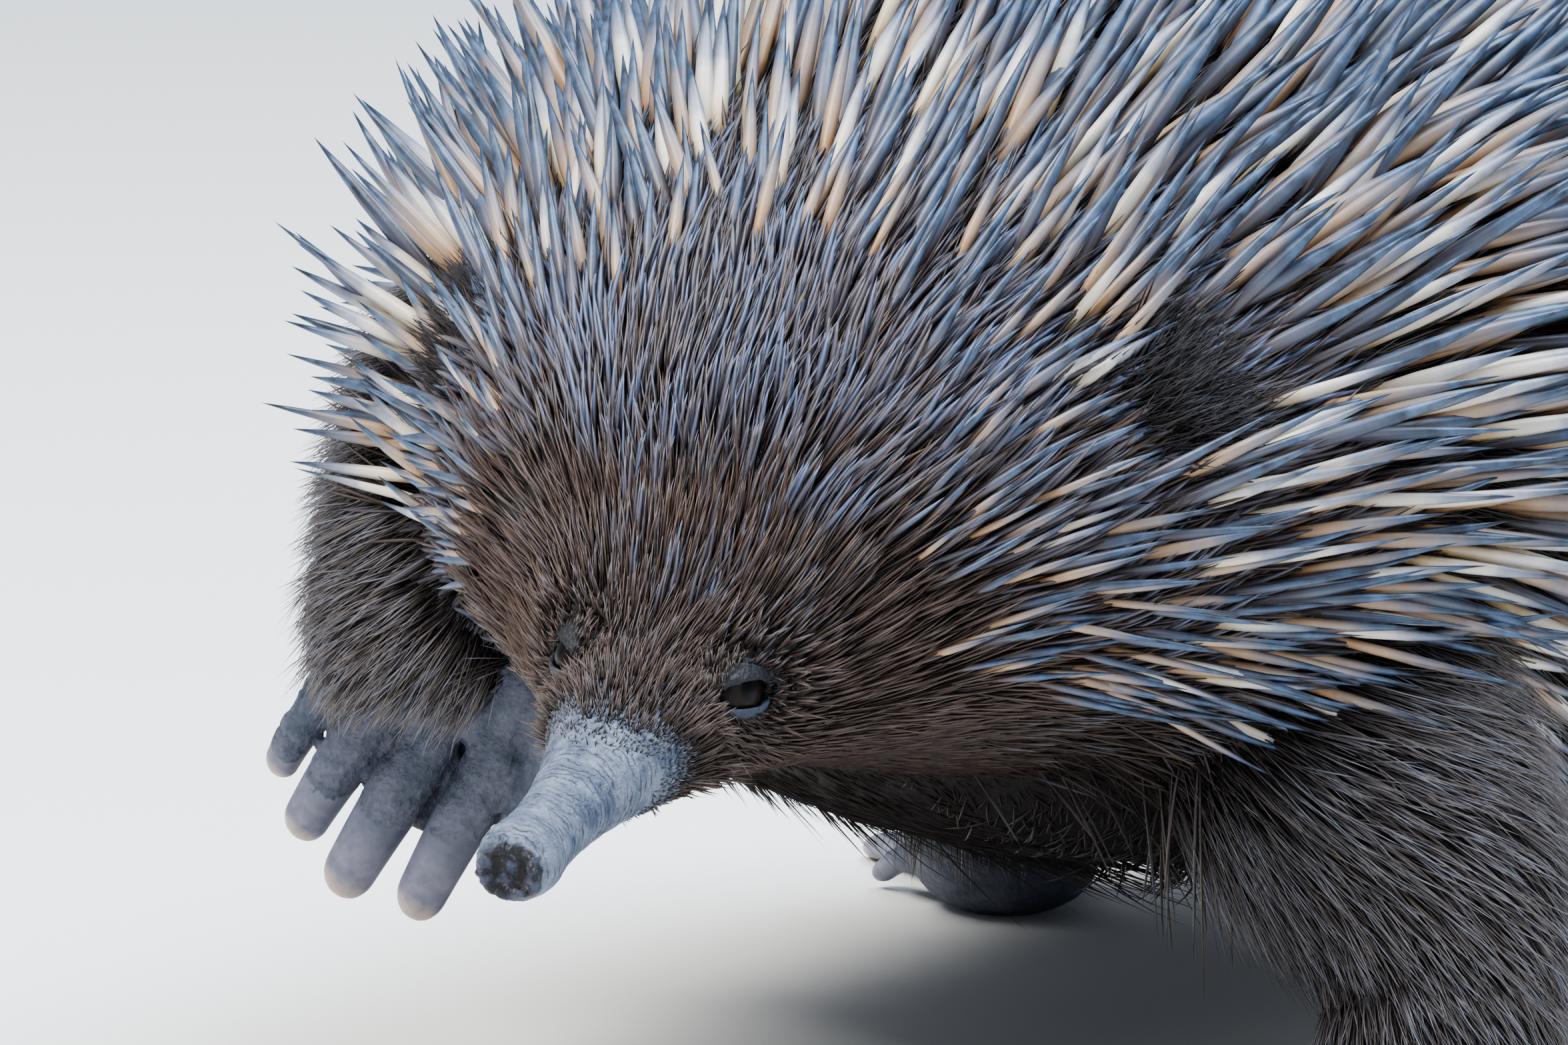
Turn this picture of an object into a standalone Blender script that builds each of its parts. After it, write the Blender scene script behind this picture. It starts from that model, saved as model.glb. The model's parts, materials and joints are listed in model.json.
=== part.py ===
"""Short-beaked echidna, life size, caught in mid step with its right forefoot lifted.

Metres, +Z up. The animal faces -Y, its left side is +X, and the floor is z = 0.
The flesh is one lofted body from beak to tail, parted by thin cuts. Legs, feet, claws,
eyes and ears are pieces of their own that meet it face to face. Spines and locks of hair
grow last, each joined to the piece that its root sits in.
"""

import math

import bmesh
import bpy
import numpy as np
from mathutils import Matrix, Vector
from mathutils.bvhtree import BVHTree

# Driving dimensions, in millimetres until a mesh is made
MM = 0.001
GAP = 0.3
BODY_SIDES = 24
BODY_RING_STEP = 17.0
SECTION_POWER = 2.15

# Stations of the body from the beak's tip to the tail's tip.
# Centre x, y, z; half width; height above and below the centre; roll to the left in degrees.
STATIONS = (
    (5.9, -206.0, 56.6, 3.9, 3.5, 3.4, 10),
    (5.6, -203.0, 57.3, 4.9, 4.4, 4.3, 10),
    (4.9, -196.0, 58.8, 4.7, 4.3, 4.1, 10),
    (3.9, -186.0, 61.0, 5.4, 4.9, 4.6, 10),
    (2.8, -175.0, 63.5, 7.2, 6.4, 5.6, 10),
    (1.8, -165.0, 65.7, 9.6, 8.8, 6.8, 10),
    (0.4, -151.0, 68.8, 14.8, 13.5, 8.5, 10),
    (-0.6, -138.0, 73.0, 24.0, 25.0, 13.5, 8),
    (-1.0, -125.0, 78.0, 35.5, 35.0, 20.0, 5),
    (-0.6, -105.0, 84.0, 51.0, 44.0, 30.0, 2),
    (0.0, -80.0, 89.0, 66.0, 51.0, 39.0, 0),
    (0.0, -45.0, 91.0, 77.0, 59.0, 53.0, 0),
    (0.0, 0.0, 90.5, 83.0, 64.0, 62.0, 0),
    (0.0, 45.0, 89.0, 84.0, 64.0, 62.0, 0),
    (0.0, 90.0, 84.0, 76.0, 58.0, 55.0, 0),
    (0.0, 125.0, 76.0, 60.0, 48.0, 43.0, 0),
    (0.0, 150.0, 66.0, 43.0, 36.0, 31.0, 0),
    (0.0, 167.0, 57.0, 29.0, 26.0, 22.0, 0),
    (0.0, 180.0, 50.0, 18.0, 17.0, 13.5, 0),
    (0.0, 191.0, 44.0, 12.0, 11.0, 9.5, 0),
    (0.0, 199.0, 40.0, 6.5, 6.0, 5.0, 0),
)

# Where the body is parted, as the y of the cut on the centre line
HAIRLINE_Y = -165.0
HEAD_END_Y = -80.0
NECK_END_Y = -48.0
WAIST_Y = 48.0
TAIL_ROOT_Y = 166.0

# Eyes: the place on the centre line, then sideways and up from it, and the way they look
# as forward, sideways and upward shares
EYE_Y = -151.0
EYE_RADIUS = 4.5
EYE_SIDE = 9.6
EYE_UP = 6.0
EYE_LOOK = (0.42, 0.82, 0.38)
LID_THICKNESS = 1.3
LID_STRETCH = 1.2
EYE_OPENING = (3.7, 2.5)
EYE_OPENING_DEPTH = 3.4

# Nostrils and mouth at the beak's tip: half sizes, and places from the tip's centre
NOSTRIL_HALF = (0.85, 1.3, 2.6)
NOSTRIL_SIDE = 2.1
NOSTRIL_UP = 1.2
NOSTRIL_AHEAD = 0.8
MOUTH_HALF = (7.0, 0.45, 7.5)
MOUTH_DOWN = 1.9
MOUTH_BACK = 4.0

# Ears: the y and the angle from the top where each sits, its half sizes and its slit's
EAR_Y = -95.0
EAR_ANGLE = 62.0
EAR_HALF = (4.6, 8.5, 5.0)
EAR_SLIT_HALF = (1.9, 6.4, 4.5)
EAR_SLIT_OUT = 4.2

# Spines: staggered rows from the crown to the tail's tip. Along the back, each line gives
# the y, the length, the rise off the skin in degrees and how far round the body they grow.
SPINE_ZONES = (
    (-120.0, 15.0, 30.0, 34.0),
    (-108.0, 21.0, 32.0, 58.0),
    (-90.0, 27.0, 33.0, 92.0),
    (-60.0, 32.0, 32.0, 106.0),
    (0.0, 36.0, 30.0, 108.0),
    (90.0, 42.0, 33.0, 110.0),
    (140.0, 42.0, 38.0, 118.0),
    (168.0, 29.0, 51.0, 135.0),
    (194.0, 13.0, 64.0, 150.0),
)
SPINE_ROW_STEP = 12.0
SPINE_SPACING = 14.6
SPINE_RADIUS = 2.0
SPINE_SUNK = 6.0
SPINE_ROOT_SHARE = 0.7
SPINE_BELLY = 0.42
SPINE_FLOOR = 6.0
CUT_MARGIN = 2.0

# Low on the flanks the spines hang a little and are shorter
LOW_FLANK_ANGLE = 75.0
LOW_FLANK_SWING = 14.0
LOW_FLANK_SHORTER = 0.22

# Over the raised right shoulder they stand up more: where, in y and degrees, and by how much
SHOULDER_Y = (-95.0, -10.0)
SHOULDER_DEGREES = (-115.0, -45.0)
SHOULDER_RISE = 20.0

# Where a spine would touch another piece, these turns are tried: extra rise and extra swing
ESCAPES = ((0, 0), (7, 0), (0, 9), (0, -9), (14, 0), (10, 12), (10, -12))
CLEARANCE = 0.3
SEED = 11

# Locks of coarse hair. Forehead: y, number across, degrees to each side, length, width.
# Cheeks: y, degrees, length, width.
FACE_LOCKS = (
    (-147.0, 5, 46.0, 11.0, 4.0),
    (-137.0, 7, 64.0, 13.0, 4.8),
    (-127.0, 8, 92.0, 15.0, 5.4),
)
CHEEK_LOCKS = (
    (-112.0, 96.0, 17.0, 6.0),
    (-100.0, 116.0, 19.0, 6.5),
    (-104.0, 138.0, 18.0, 6.5),
)

# A hanging fringe along the lower edge of the spines
FRINGE_Y = (-38.0, -20.0, -2.0, 16.0, 34.0, 58.0, 134.0, 148.0)
FRINGE_ANGLE = 124.0
FRINGE_LENGTH = 24.0
FRINGE_WIDTH = 7.0
FRINGE_SWING = 0.7

# Hair on the legs, in rows at these shares of the way down
LEG_LOCK_SHARES = (0.5, 0.64, 0.78)
LEG_LOCKS_AROUND = 6
LEG_LOCK_LENGTH = 15.0
LEG_LOCK_WIDTH = 6.0
LEG_TUBE_STEPS = 40
LEG_BARE_DISTANCE = 4.0
LOCK_THICKNESS = 1.3
LOCK_SUNK = 4.5
LOCK_RISE = 17.0
LOCK_SETTLE = 0.45
LOCK_FLOOR = 3.0

# Limbs: points from inside the body to inside the foot, each with its half width.
# The foot begins at the last point but one.
FORELEG_LEFT = (
    (46, -55, 66, 22),
    (61, -58, 50, 22),
    (72, -62, 36, 18),
    (76, -66, 23, 14.5),
    (77, -72, 9, 13),
)
FORELEG_RIGHT = (
    (-50, -56, 108, 20),
    (-60, -66, 93, 20),
    (-65, -74, 80, 17),
    (-67, -78, 69, 14.5),
    (-68, -80, 58, 12),
)
HINDLEG_LEFT = (
    (36, 100, 64, 32),
    (54, 110, 46, 28),
    (64, 118, 30, 20),
    (67, 122, 17, 14.5),
    (68, 124, 7, 12),
)
HINDLEG_RIGHT = (
    (-36, 88, 64, 32),
    (-54, 96, 46, 28),
    (-63, 102, 30, 20),
    (-65, 105, 17, 14.5),
    (-66, 107, 7, 12),
)
LIMB_SIDES = 10
LIMB_RINGS = 7
LIMB_UP = Vector((0.0, 1.0, 0.2))

# How each foot is set: the palm's centre, the way the digits point, the way the foot's
# upper side faces and how far the digits lean outwards
UPWARD = (0.0, 0.0, 1.0)
FOREFOOT_LEFT = ((77, -78, 8.2), (0.16, -0.987, 0.0), UPWARD, 0.0)
FOREFOOT_RIGHT = ((-69, -82, 60), (-0.16, -0.1, -0.98), (-0.05, -0.98, 0.1), 0.2)
HINDFOOT_LEFT = ((71, 130, 7.2), (0.6, 0.8, 0.0), UPWARD, 0.0)
HINDFOOT_RIGHT = ((-69, 113, 7.2), (-0.6, 0.8, 0.0), UPWARD, 0.0)

# Toes from the inner to the outer side of the foot:
# sideways place, knuckle's forward place, toe length, toe half width, claw half width, claw length
FORE_TOES = (
    (-17.0, 5, 7, 3.3, 2.9, 9),
    (-9.0, 8, 11, 3.9, 3.7, 15),
    (1.5, 8, 11, 4.1, 3.9, 15),
    (11.2, 6, 8, 3.7, 3.4, 11),
    (18.3, 3, 6, 3.0, 2.7, 7.0),
)
HIND_TOES = (
    (-11.5, 9, 4, 2.9, 2.2, 8),
    (-5.5, 14, 6, 3.6, 2.9, 30),
    (1.5, 14, 6, 3.4, 2.7, 20),
    (7.5, 12, 5, 3.0, 2.4, 13),
    (12.5, 9, 4, 2.7, 2.2, 9),
)
TOE_SPLAY = 0.25
TOE_HEIGHT = 6.0
TOE_DROP = 0.8
TOE_SIDES = 6
CLAW_SIDES = 6
CLAW_STEPS = 3
CLAW_ROOT = 1.0
CLAW_FLATNESS = 0.62
CLAW_DROOP = 4.2
FORE_PALM = (19.0, 13.0, 9.0)
HIND_PALM = (13.5, 19.0, 8.0)

FUR = ("coat_brown", (0.085, 0.055, 0.038), 0.8)
SPINES = ("coat_spines", (0.30, 0.24, 0.17), 0.5)
SKIN = ("bare_skin", (0.20, 0.20, 0.225), 0.6)
HORN = ("claw_horn", (0.20, 0.185, 0.19), 0.45)
EYE = ("eye_dark", (0.012, 0.009, 0.008), 0.08)


def clear_scene():
    for obj in list(bpy.data.objects):
        bpy.data.objects.remove(obj)


def material(spec):
    name, colour, roughness = spec
    made = bpy.data.materials.get(name)
    if made is None:
        made = bpy.data.materials.new(name)
        made.use_nodes = True
        shader = made.node_tree.nodes["Principled BSDF"]
        shader.inputs["Base Color"].default_value = (*colour, 1.0)
        shader.inputs["Roughness"].default_value = roughness
    return made


def object_from(name, bm, finish=None):
    """A smooth-shaded object from a bmesh in millimetres."""
    bmesh.ops.scale(bm, vec=(MM, MM, MM), verts=bm.verts)
    bmesh.ops.recalc_face_normals(bm, faces=bm.faces)
    mesh = bpy.data.meshes.new(name)
    bm.to_mesh(mesh)
    bm.free()
    mesh.shade_smooth()
    mesh.set_sharp_from_angle(angle=math.radians(50))
    obj = bpy.data.objects.new(name, mesh)
    bpy.context.scene.collection.objects.link(obj)
    if finish:
        mesh.materials.append(material(finish))
    return obj


def loft(rings, tip=None):
    """A closed bmesh through rings of points, with flat caps, or with a point at its far end."""
    bm = bmesh.new()
    rows = [[bm.verts.new(point) for point in ring] for ring in rings]
    count = len(rows[0])
    for row, following in zip(rows, rows[1:]):
        for i in range(count):
            j = (i + 1) % count
            bm.faces.new((row[i], row[j], following[j]))
            bm.faces.new((row[i], following[j], following[i]))
    bm.faces.new(rows[0])
    if tip is None:
        bm.faces.new(rows[-1])
    else:
        point = bm.verts.new(tip)
        for i in range(count):
            bm.faces.new((rows[-1][i], rows[-1][(i + 1) % count], point))
    return bm


def smooth_rows(keys, rows, at):
    """Rows of numbers read at new keys along a smooth curve through them."""
    slopes = np.gradient(rows, keys, axis=0)
    i = np.clip(np.searchsorted(keys, at) - 1, 0, len(keys) - 2)
    span = (keys[i + 1] - keys[i])[:, None]
    t = ((at - keys[i]) / (keys[i + 1] - keys[i]))[:, None]
    return (
        (2 * t**3 - 3 * t**2 + 1) * rows[i]
        + (t**3 - 2 * t**2 + t) * span * slopes[i]
        + (3 * t**2 - 2 * t**3) * rows[i + 1]
        + (t**3 - t**2) * span * slopes[i + 1]
    )


def arc_lengths(points):
    steps = np.linalg.norm(np.diff(points, axis=0), axis=1)
    return np.concatenate([[0.0], np.cumsum(steps)])


BODY_ROWS = np.array(STATIONS, float)
BODY_ARCS = arc_lengths(BODY_ROWS[:, :3])


def arc_of_y(y):
    """The arc length along the body where its centre line has this y."""
    return float(np.interp(y, BODY_ROWS[:, 1], BODY_ARCS))


def body_frame(arc):
    """Centre, backward, left and up directions, and the row of sizes at an arc length."""
    before, here, after = smooth_rows(BODY_ARCS, BODY_ROWS, np.array([arc - 1.5, arc, arc + 1.5]))
    back = Vector(after[:3] - before[:3]).normalized()
    roll = math.radians(here[6])
    left = back.cross(Vector((0, 0, 1))).normalized()
    up = left.cross(back)
    rolled_left = left * math.cos(roll) - up * math.sin(roll)
    rolled_up = up * math.cos(roll) + left * math.sin(roll)
    return Vector(here[:3]), back, rolled_left, rolled_up, here


def body_point(arc, angle):
    """A point of the flesh: angle 0 is the top and grows towards the left side."""
    centre, _, left, up, row = body_frame(arc)
    power = 2.0 / SECTION_POWER
    across = math.copysign(abs(math.sin(angle)) ** power, math.sin(angle))
    along = math.copysign(abs(math.cos(angle)) ** power, math.cos(angle))
    height = row[4] if along > 0 else row[5]
    return centre + left * across * row[3] + up * along * height


def skin_frame(arc, angle):
    """A point of the skin with its backward, round and outward directions."""
    point = body_point(arc, angle)
    back = (body_point(arc + 1.0, angle) - body_point(arc - 1.0, angle)).normalized()
    around = body_point(arc, angle + 0.03) - body_point(arc, angle - 0.03)
    around = (around - back * around.dot(back)).normalized()
    return point, back, around, around.cross(back).normalized()


def body_rings():
    """Rings of the whole body, closer together where it is slender."""
    arcs = [0.0]
    while arcs[-1] < BODY_ARCS[-1]:
        width = smooth_rows(BODY_ARCS, BODY_ROWS, np.array([arcs[-1]]))[0][3]
        arcs.append(arcs[-1] + min(BODY_RING_STEP, 2.2 + 0.45 * width))
    arcs[-1] = BODY_ARCS[-1]
    rings = []
    angles = [math.tau * i / BODY_SIDES for i in range(BODY_SIDES)]
    for arc in arcs:
        rings.append([body_point(arc, angle) for angle in angles])
    return rings


def fill_holes(bm):
    open_edges = [edge for edge in bm.edges if edge.is_boundary]
    bmesh.ops.holes_fill(bm, edges=open_edges, sides=0)


def keep_side(bm, point, normal):
    """Cuts a closed bmesh by a plane, keeps what lies behind the normal and closes it."""
    parts = bm.verts[:] + bm.edges[:] + bm.faces[:]
    bmesh.ops.bisect_plane(bm, geom=parts, dist=1e-7, plane_co=point, plane_no=normal, clear_outer=True)
    fill_holes(bm)


def body_slice(start_y, end_y):
    """The stretch of body between two cuts, half a gap short of each."""
    bm = loft(body_rings())
    if start_y is not None:
        centre, back, _, _, _ = body_frame(arc_of_y(start_y))
        keep_side(bm, centre + back * GAP / 2, -back)
    if end_y is not None:
        centre, back, _, _, _ = body_frame(arc_of_y(end_y))
        keep_side(bm, centre - back * GAP / 2, back)
    return bm


def ball(centre, half_sizes, axes, segments=12, rings=8):
    """An ellipsoid bmesh with its own axes, in millimetres."""
    bm = bmesh.new()
    bmesh.ops.create_uvsphere(bm, u_segments=segments, v_segments=rings, radius=1.0)
    turn = Matrix(axes).transposed()
    for vert in bm.verts:
        scaled = Vector(c * h for c, h in zip(vert.co, half_sizes))
        vert.co = centre + turn @ scaled
    return bm


def tube(points, half_widths, sides, steps, flatness=1.0, flat_up=Vector((0, 0, 1))):
    """Rings of a tapering tube through points, its height a share of its width."""
    points = np.array(points, float)
    arcs = arc_lengths(points)
    at = np.linspace(0, arcs[-1], steps)
    rows = smooth_rows(arcs, np.column_stack([points, half_widths]), at)
    rings = []
    for i, row in enumerate(rows):
        ahead = rows[min(i + 1, steps - 1)][:3]
        behind = rows[max(i - 1, 0)][:3]
        along = Vector(ahead - behind).normalized()
        side = along.cross(flat_up).normalized()
        top = side.cross(along)
        ring = []
        for k in range(sides):
            angle = math.tau * k / sides
            spread = side * math.cos(angle) + top * math.sin(angle) * flatness
            ring.append(Vector(row[:3]) + spread * row[3])
        rings.append(ring)
    return rings


def swollen(obj, by):
    """A copy of an object with its surface moved outwards, for cutting a gap."""
    copy = obj.copy()
    copy.data = obj.data.copy()
    normals = [Vector(v.normal) for v in copy.data.vertices]
    for vert, normal in zip(copy.data.vertices, normals):
        vert.co += normal * by * MM
    bpy.context.scene.collection.objects.link(copy)
    return copy


def is_closed(mesh):
    """True where every edge has exactly two faces."""
    uses = {}
    for polygon in mesh.polygons:
        for key in polygon.edge_keys:
            uses[key] = uses.get(key, 0) + 1
    return all(count == 2 for count in uses.values())


def combine(obj, operation, others):
    """Joins or cuts an object with closed pieces, applies it and removes the pieces."""
    group = bpy.data.collections.new("pieces")
    bpy.context.scene.collection.children.link(group)
    for other in others:
        for holder in list(other.users_collection):
            holder.objects.unlink(other)
        group.objects.link(other)
    modifier = obj.modifiers.new("join", "BOOLEAN")
    modifier.operation = operation
    modifier.operand_type = "COLLECTION"
    modifier.collection = group
    for solver in ("EXACT", "MANIFOLD"):
        modifier.solver = solver
        bpy.context.view_layer.update()
        graph = bpy.context.evaluated_depsgraph_get()
        made = bpy.data.meshes.new_from_object(obj.evaluated_get(graph))
        if is_closed(made):
            break
    obj.modifiers.clear()
    old = obj.data
    obj.data = made
    bpy.data.meshes.remove(old)
    for other in list(group.objects):
        bpy.data.objects.remove(other)
    bpy.data.collections.remove(group)
    keep_largest(obj)


def keep_largest(obj):
    """Leaves only the closed surface with the most volume."""
    bm = bmesh.new()
    bm.from_mesh(obj.data)
    unseen = set(bm.faces)
    islands = []
    while unseen:
        island = set()
        front = [unseen.pop()]
        while front:
            face = front.pop()
            island.add(face)
            near = {f for edge in face.edges for f in edge.link_faces} & unseen
            unseen -= near
            front += near
        islands.append(island)
    if len(islands) > 1:
        def size(island):
            return sum(f.calc_area() * f.normal.dot(f.calc_center_median()) for f in island)
        islands.sort(key=size)
        drop = [face for island in islands[:-1] for face in island]
        bmesh.ops.delete(bm, geom=drop, context="FACES")
    bm.to_mesh(obj.data)
    bm.free()


def eye_place(side):
    """Centre of an eyeball and its looking, sideways and upward axes."""
    centre, back, left, up, _ = body_frame(arc_of_y(EYE_Y))
    place = centre + left * EYE_SIDE * side + up * EYE_UP
    forward, sideways, upward = EYE_LOOK
    look = (-back * forward + left * sideways * side + up * upward).normalized()
    slit = (-back - look * look.dot(-back)).normalized()
    return place, look, slit, look.cross(slit)


def make_eyes():
    for side, name in ((1, "eye_left"), (-1, "eye_right")):
        place, look, slit, across = eye_place(side)
        object_from(name, ball(place, (EYE_RADIUS,) * 3, (slit, across, look), 14, 8), EYE)


def make_beak():
    beak = object_from("beak", body_slice(None, HAIRLINE_Y), SKIN)
    centre, back, left, up, _ = body_frame(0.0)
    cutters = []
    for side in (1, -1):
        place = centre + left * NOSTRIL_SIDE * side + up * NOSTRIL_UP - back * NOSTRIL_AHEAD
        cutters.append(object_from("nostril", ball(place, NOSTRIL_HALF, (left, up, back), 8, 6)))
    mouth = centre - up * MOUTH_DOWN + back * MOUTH_BACK
    cutters.append(object_from("mouth_slit", ball(mouth, MOUTH_HALF, (left, up, back), 12, 8)))
    combine(beak, "DIFFERENCE", cutters)


def make_head():
    """The head with a lid raised round each eye, its socket and its almond opening."""
    head = object_from("head", body_slice(HAIRLINE_Y, HEAD_END_Y), FUR)
    lids = []
    cutters = []
    lid = EYE_RADIUS + LID_THICKNESS
    for side in (1, -1):
        place, look, slit, across = eye_place(side)
        axes = (slit, across, look)
        lids.append(object_from("lid", ball(place, (lid + LID_STRETCH, lid, lid), axes, 14, 8)))
        cutters.append(object_from("socket", ball(place, (EYE_RADIUS + GAP,) * 3, axes, 16, 10)))
        opening = ball(place + look * lid, (*EYE_OPENING, EYE_OPENING_DEPTH), axes, 12, 6)
        cutters.append(object_from("opening", opening))
    combine(head, "UNION", lids)
    combine(head, "DIFFERENCE", cutters)


def make_ears(body):
    """A low rim round each ear's slit, seated on the skin."""
    for side, name in ((1, "ear_left"), (-1, "ear_right")):
        arc = arc_of_y(EAR_Y)
        angle = math.radians(EAR_ANGLE) * side
        place, along, down, out = skin_frame(arc, angle)
        ear = object_from(name, ball(place, EAR_HALF, (along, down, out), 10, 6), FUR)
        slit = ball(place + out * EAR_SLIT_OUT, EAR_SLIT_HALF, (along, down, out), 8, 6)
        combine(ear, "DIFFERENCE", [object_from("slit", slit), swollen(body, GAP)])


def make_claw(name, cap, cap_normal, way, dorsal, half_width, length, droop):
    """A broad digging claw that curves down from the toe's cap to a blunt tip."""
    root = cap - way * CLAW_ROOT
    points = []
    widths = []
    for i in range(CLAW_STEPS + 1):
        t = i / CLAW_STEPS
        points.append(root + way * (length + CLAW_ROOT) * t - dorsal * droop * t**1.6)
        widths.append(half_width * (1.0 - 0.22 * t - 0.42 * t**5))
    bm = loft(tube(points, widths, CLAW_SIDES, CLAW_STEPS + 1, CLAW_FLATNESS, dorsal))
    keep_side(bm, cap + cap_normal * GAP, -cap_normal)
    object_from(name, bm, HORN)


def toe_and_claw(toe, name, palm, digits, dorsal, outer, lean, palm_half):
    """One toe, with its claw made as a piece of its own."""
    sideways, knuckle, length, half, claw_half, claw_length = toe
    way = (digits + outer * (lean + TOE_SPLAY * sideways / palm_half[0])).normalized()
    start = palm + outer * sideways * 0.8 + digits * (knuckle - 6)
    middle = palm + outer * sideways + digits * knuckle - dorsal * (palm_half[2] - TOE_HEIGHT - 1.0)
    end = middle + way * length - dorsal * TOE_DROP
    rings = tube((start, middle, end), (half * 0.95, half * 1.12, half), TOE_SIDES, 4, 1.0, dorsal)
    cap = rings[-1]
    cap_normal = (cap[0] - cap[2]).cross(cap[2] - cap[4]).normalized()
    if cap_normal.dot(digits) < 0:
        cap_normal = -cap_normal
    claw_way = (cap_normal + way * 1.5).normalized()
    droop = min(TOE_HEIGHT - CLAW_FLATNESS * claw_half - 1.0, CLAW_DROOP)
    make_claw(name, end, cap_normal, claw_way, dorsal, claw_half, claw_length, droop)
    return object_from("toe", loft(rings))


def make_foot(name, side, rings, wrist, along, stance, palm_half, toes):
    """A foot cut off square at the wrist, with its palm, five toes and five claws."""
    palm, digits, dorsal, lean = stance
    palm = Vector(palm)
    digits = Vector(digits).normalized()
    dorsal = Vector(dorsal)
    dorsal = (dorsal - digits * dorsal.dot(digits)).normalized()
    outer = digits.cross(dorsal) * -side
    bm = loft(rings)
    keep_side(bm, wrist, -along)
    foot = object_from(name, bm, SKIN)
    pieces = [object_from("palm", ball(palm, palm_half, (outer, digits, dorsal), 12, 6))]
    for number, toe in enumerate(toes, 1):
        claw = f"claw_{name.replace('foot', '')}_{number}"
        pieces.append(toe_and_claw(toe, claw, palm, digits, dorsal, outer, lean, palm_half))
    combine(foot, "UNION", pieces)
    bm = bmesh.new()
    bm.from_mesh(foot.data)
    keep_side(bm, wrist * MM, -along)
    if dorsal.z > 0.9:
        keep_side(bm, (0, 0, 0), (0, 0, -1))
    bm.to_mesh(foot.data)
    bm.free()
    return foot


def make_limbs(body):
    """Legs and feet, each cut clear of the body."""
    specs = (
        ("foreleg_left", 1, FORELEG_LEFT, FOREFOOT_LEFT, FORE_PALM, FORE_TOES),
        ("foreleg_right", -1, FORELEG_RIGHT, FOREFOOT_RIGHT, FORE_PALM, FORE_TOES),
        ("hindleg_left", 1, HINDLEG_LEFT, HINDFOOT_LEFT, HIND_PALM, HIND_TOES),
        ("hindleg_right", -1, HINDLEG_RIGHT, HINDFOOT_RIGHT, HIND_PALM, HIND_TOES),
    )
    for name, side, limb, stance, palm_half, toes in specs:
        points = [Vector(p[:3]) for p in limb]
        rings = tube(points, [p[3] for p in limb], LIMB_SIDES, LIMB_RINGS, 1.0, LIMB_UP)
        along = (points[-1] - points[-2]).normalized()
        bm = loft(rings)
        keep_side(bm, points[-2] - along * GAP / 2, along)
        leg = object_from(name, bm, FUR)
        wrist = points[-2] + along * GAP / 2
        foot = make_foot(name.replace("leg", "foot"), side, rings, wrist, along, stance, palm_half, toes)
        for part in (leg, foot):
            combine(part, "DIFFERENCE", [swollen(body, GAP)])


def spine_bm(root, way, length, radius, spare=0.0):
    """A three-sided spine, thickest part way along, with its root sunk in the flesh."""
    side = way.orthogonal().normalized()
    top = way.cross(side)
    rings = []
    for along, share in ((-SPINE_SUNK, SPINE_ROOT_SHARE), (SPINE_BELLY * length, 1.0)):
        reach = radius * share + spare
        ring = []
        for k in range(3):
            angle = math.tau * k / 3
            ring.append(root + way * along + (side * math.cos(angle) + top * math.sin(angle)) * reach)
        rings.append(ring)
    return loft(rings, root + way * (length + spare * 3))


def lock_bm(root, way, side, length, width, settle, spare=0.0):
    """A flat tapered lock with a low ridge, bent over towards the skin, its root sunk in the flesh."""
    rings = []
    for along, share in ((-LOCK_SUNK, 0.75), (0.3 * length, 1.0), (0.68 * length, 0.72)):
        centre = root + way * along + settle * max(0.0, along / length) ** 2
        run = (way + settle * 2 * max(0.0, along) / length**2).normalized()
        ridge = side.cross(run).normalized()
        half = side * (width / 2 * share + spare * 2)
        low = centre - ridge * (LOCK_THICKNESS / 2 + spare)
        rings.append([low - half, low + half, centre + ridge * (LOCK_THICKNESS + spare)])
    return loft(rings, root + way * (length + spare * 2) + settle)


class Clearances:
    """Keeps spines and locks off each other and off the pieces that they don't grow from."""

    def __init__(self, objects):
        self.nodes = {obj.name: self.tree_of(obj) for obj in objects}
        self.grown = []

    def tree_of(self, obj):
        obj.data.calc_loop_triangles()
        points = [vert.co / MM for vert in obj.data.vertices]
        return BVHTree.FromPolygons(points, [t.vertices[:] for t in obj.data.loop_triangles])

    def claim(self, own, bm):
        """Takes the room that a piece fills, where nothing else is in it."""
        bmesh.ops.triangulate(bm, faces=bm.faces)
        tree = BVHTree.FromBMesh(bm)
        bm.free()
        if any(tree.overlap(other) for name, other in self.nodes.items() if name != own):
            return False
        if any(tree.overlap(other) for other in self.grown):
            return False
        self.grown.append(tree)
        return True


def zone_values(y):
    zones = np.array(SPINE_ZONES)
    return [float(np.interp(y, zones[:, 0], zones[:, k])) for k in (1, 2, 3)]


def node_at(y):
    """The node that a root at this y sits well inside, or none near a cut."""
    spans = (
        ("head", HAIRLINE_Y, HEAD_END_Y),
        ("neck", HEAD_END_Y, NECK_END_Y),
        ("torso_fore", NECK_END_Y, WAIST_Y),
        ("torso_hind", WAIST_Y, TAIL_ROOT_Y),
        ("tail", TAIL_ROOT_Y, STATIONS[-1][1]),
    )
    for name, start, end in spans:
        if start + CUT_MARGIN < y < end - CUT_MARGIN:
            return name
    return None


def in_span(value, span):
    return span[0] < value < span[1]


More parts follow.
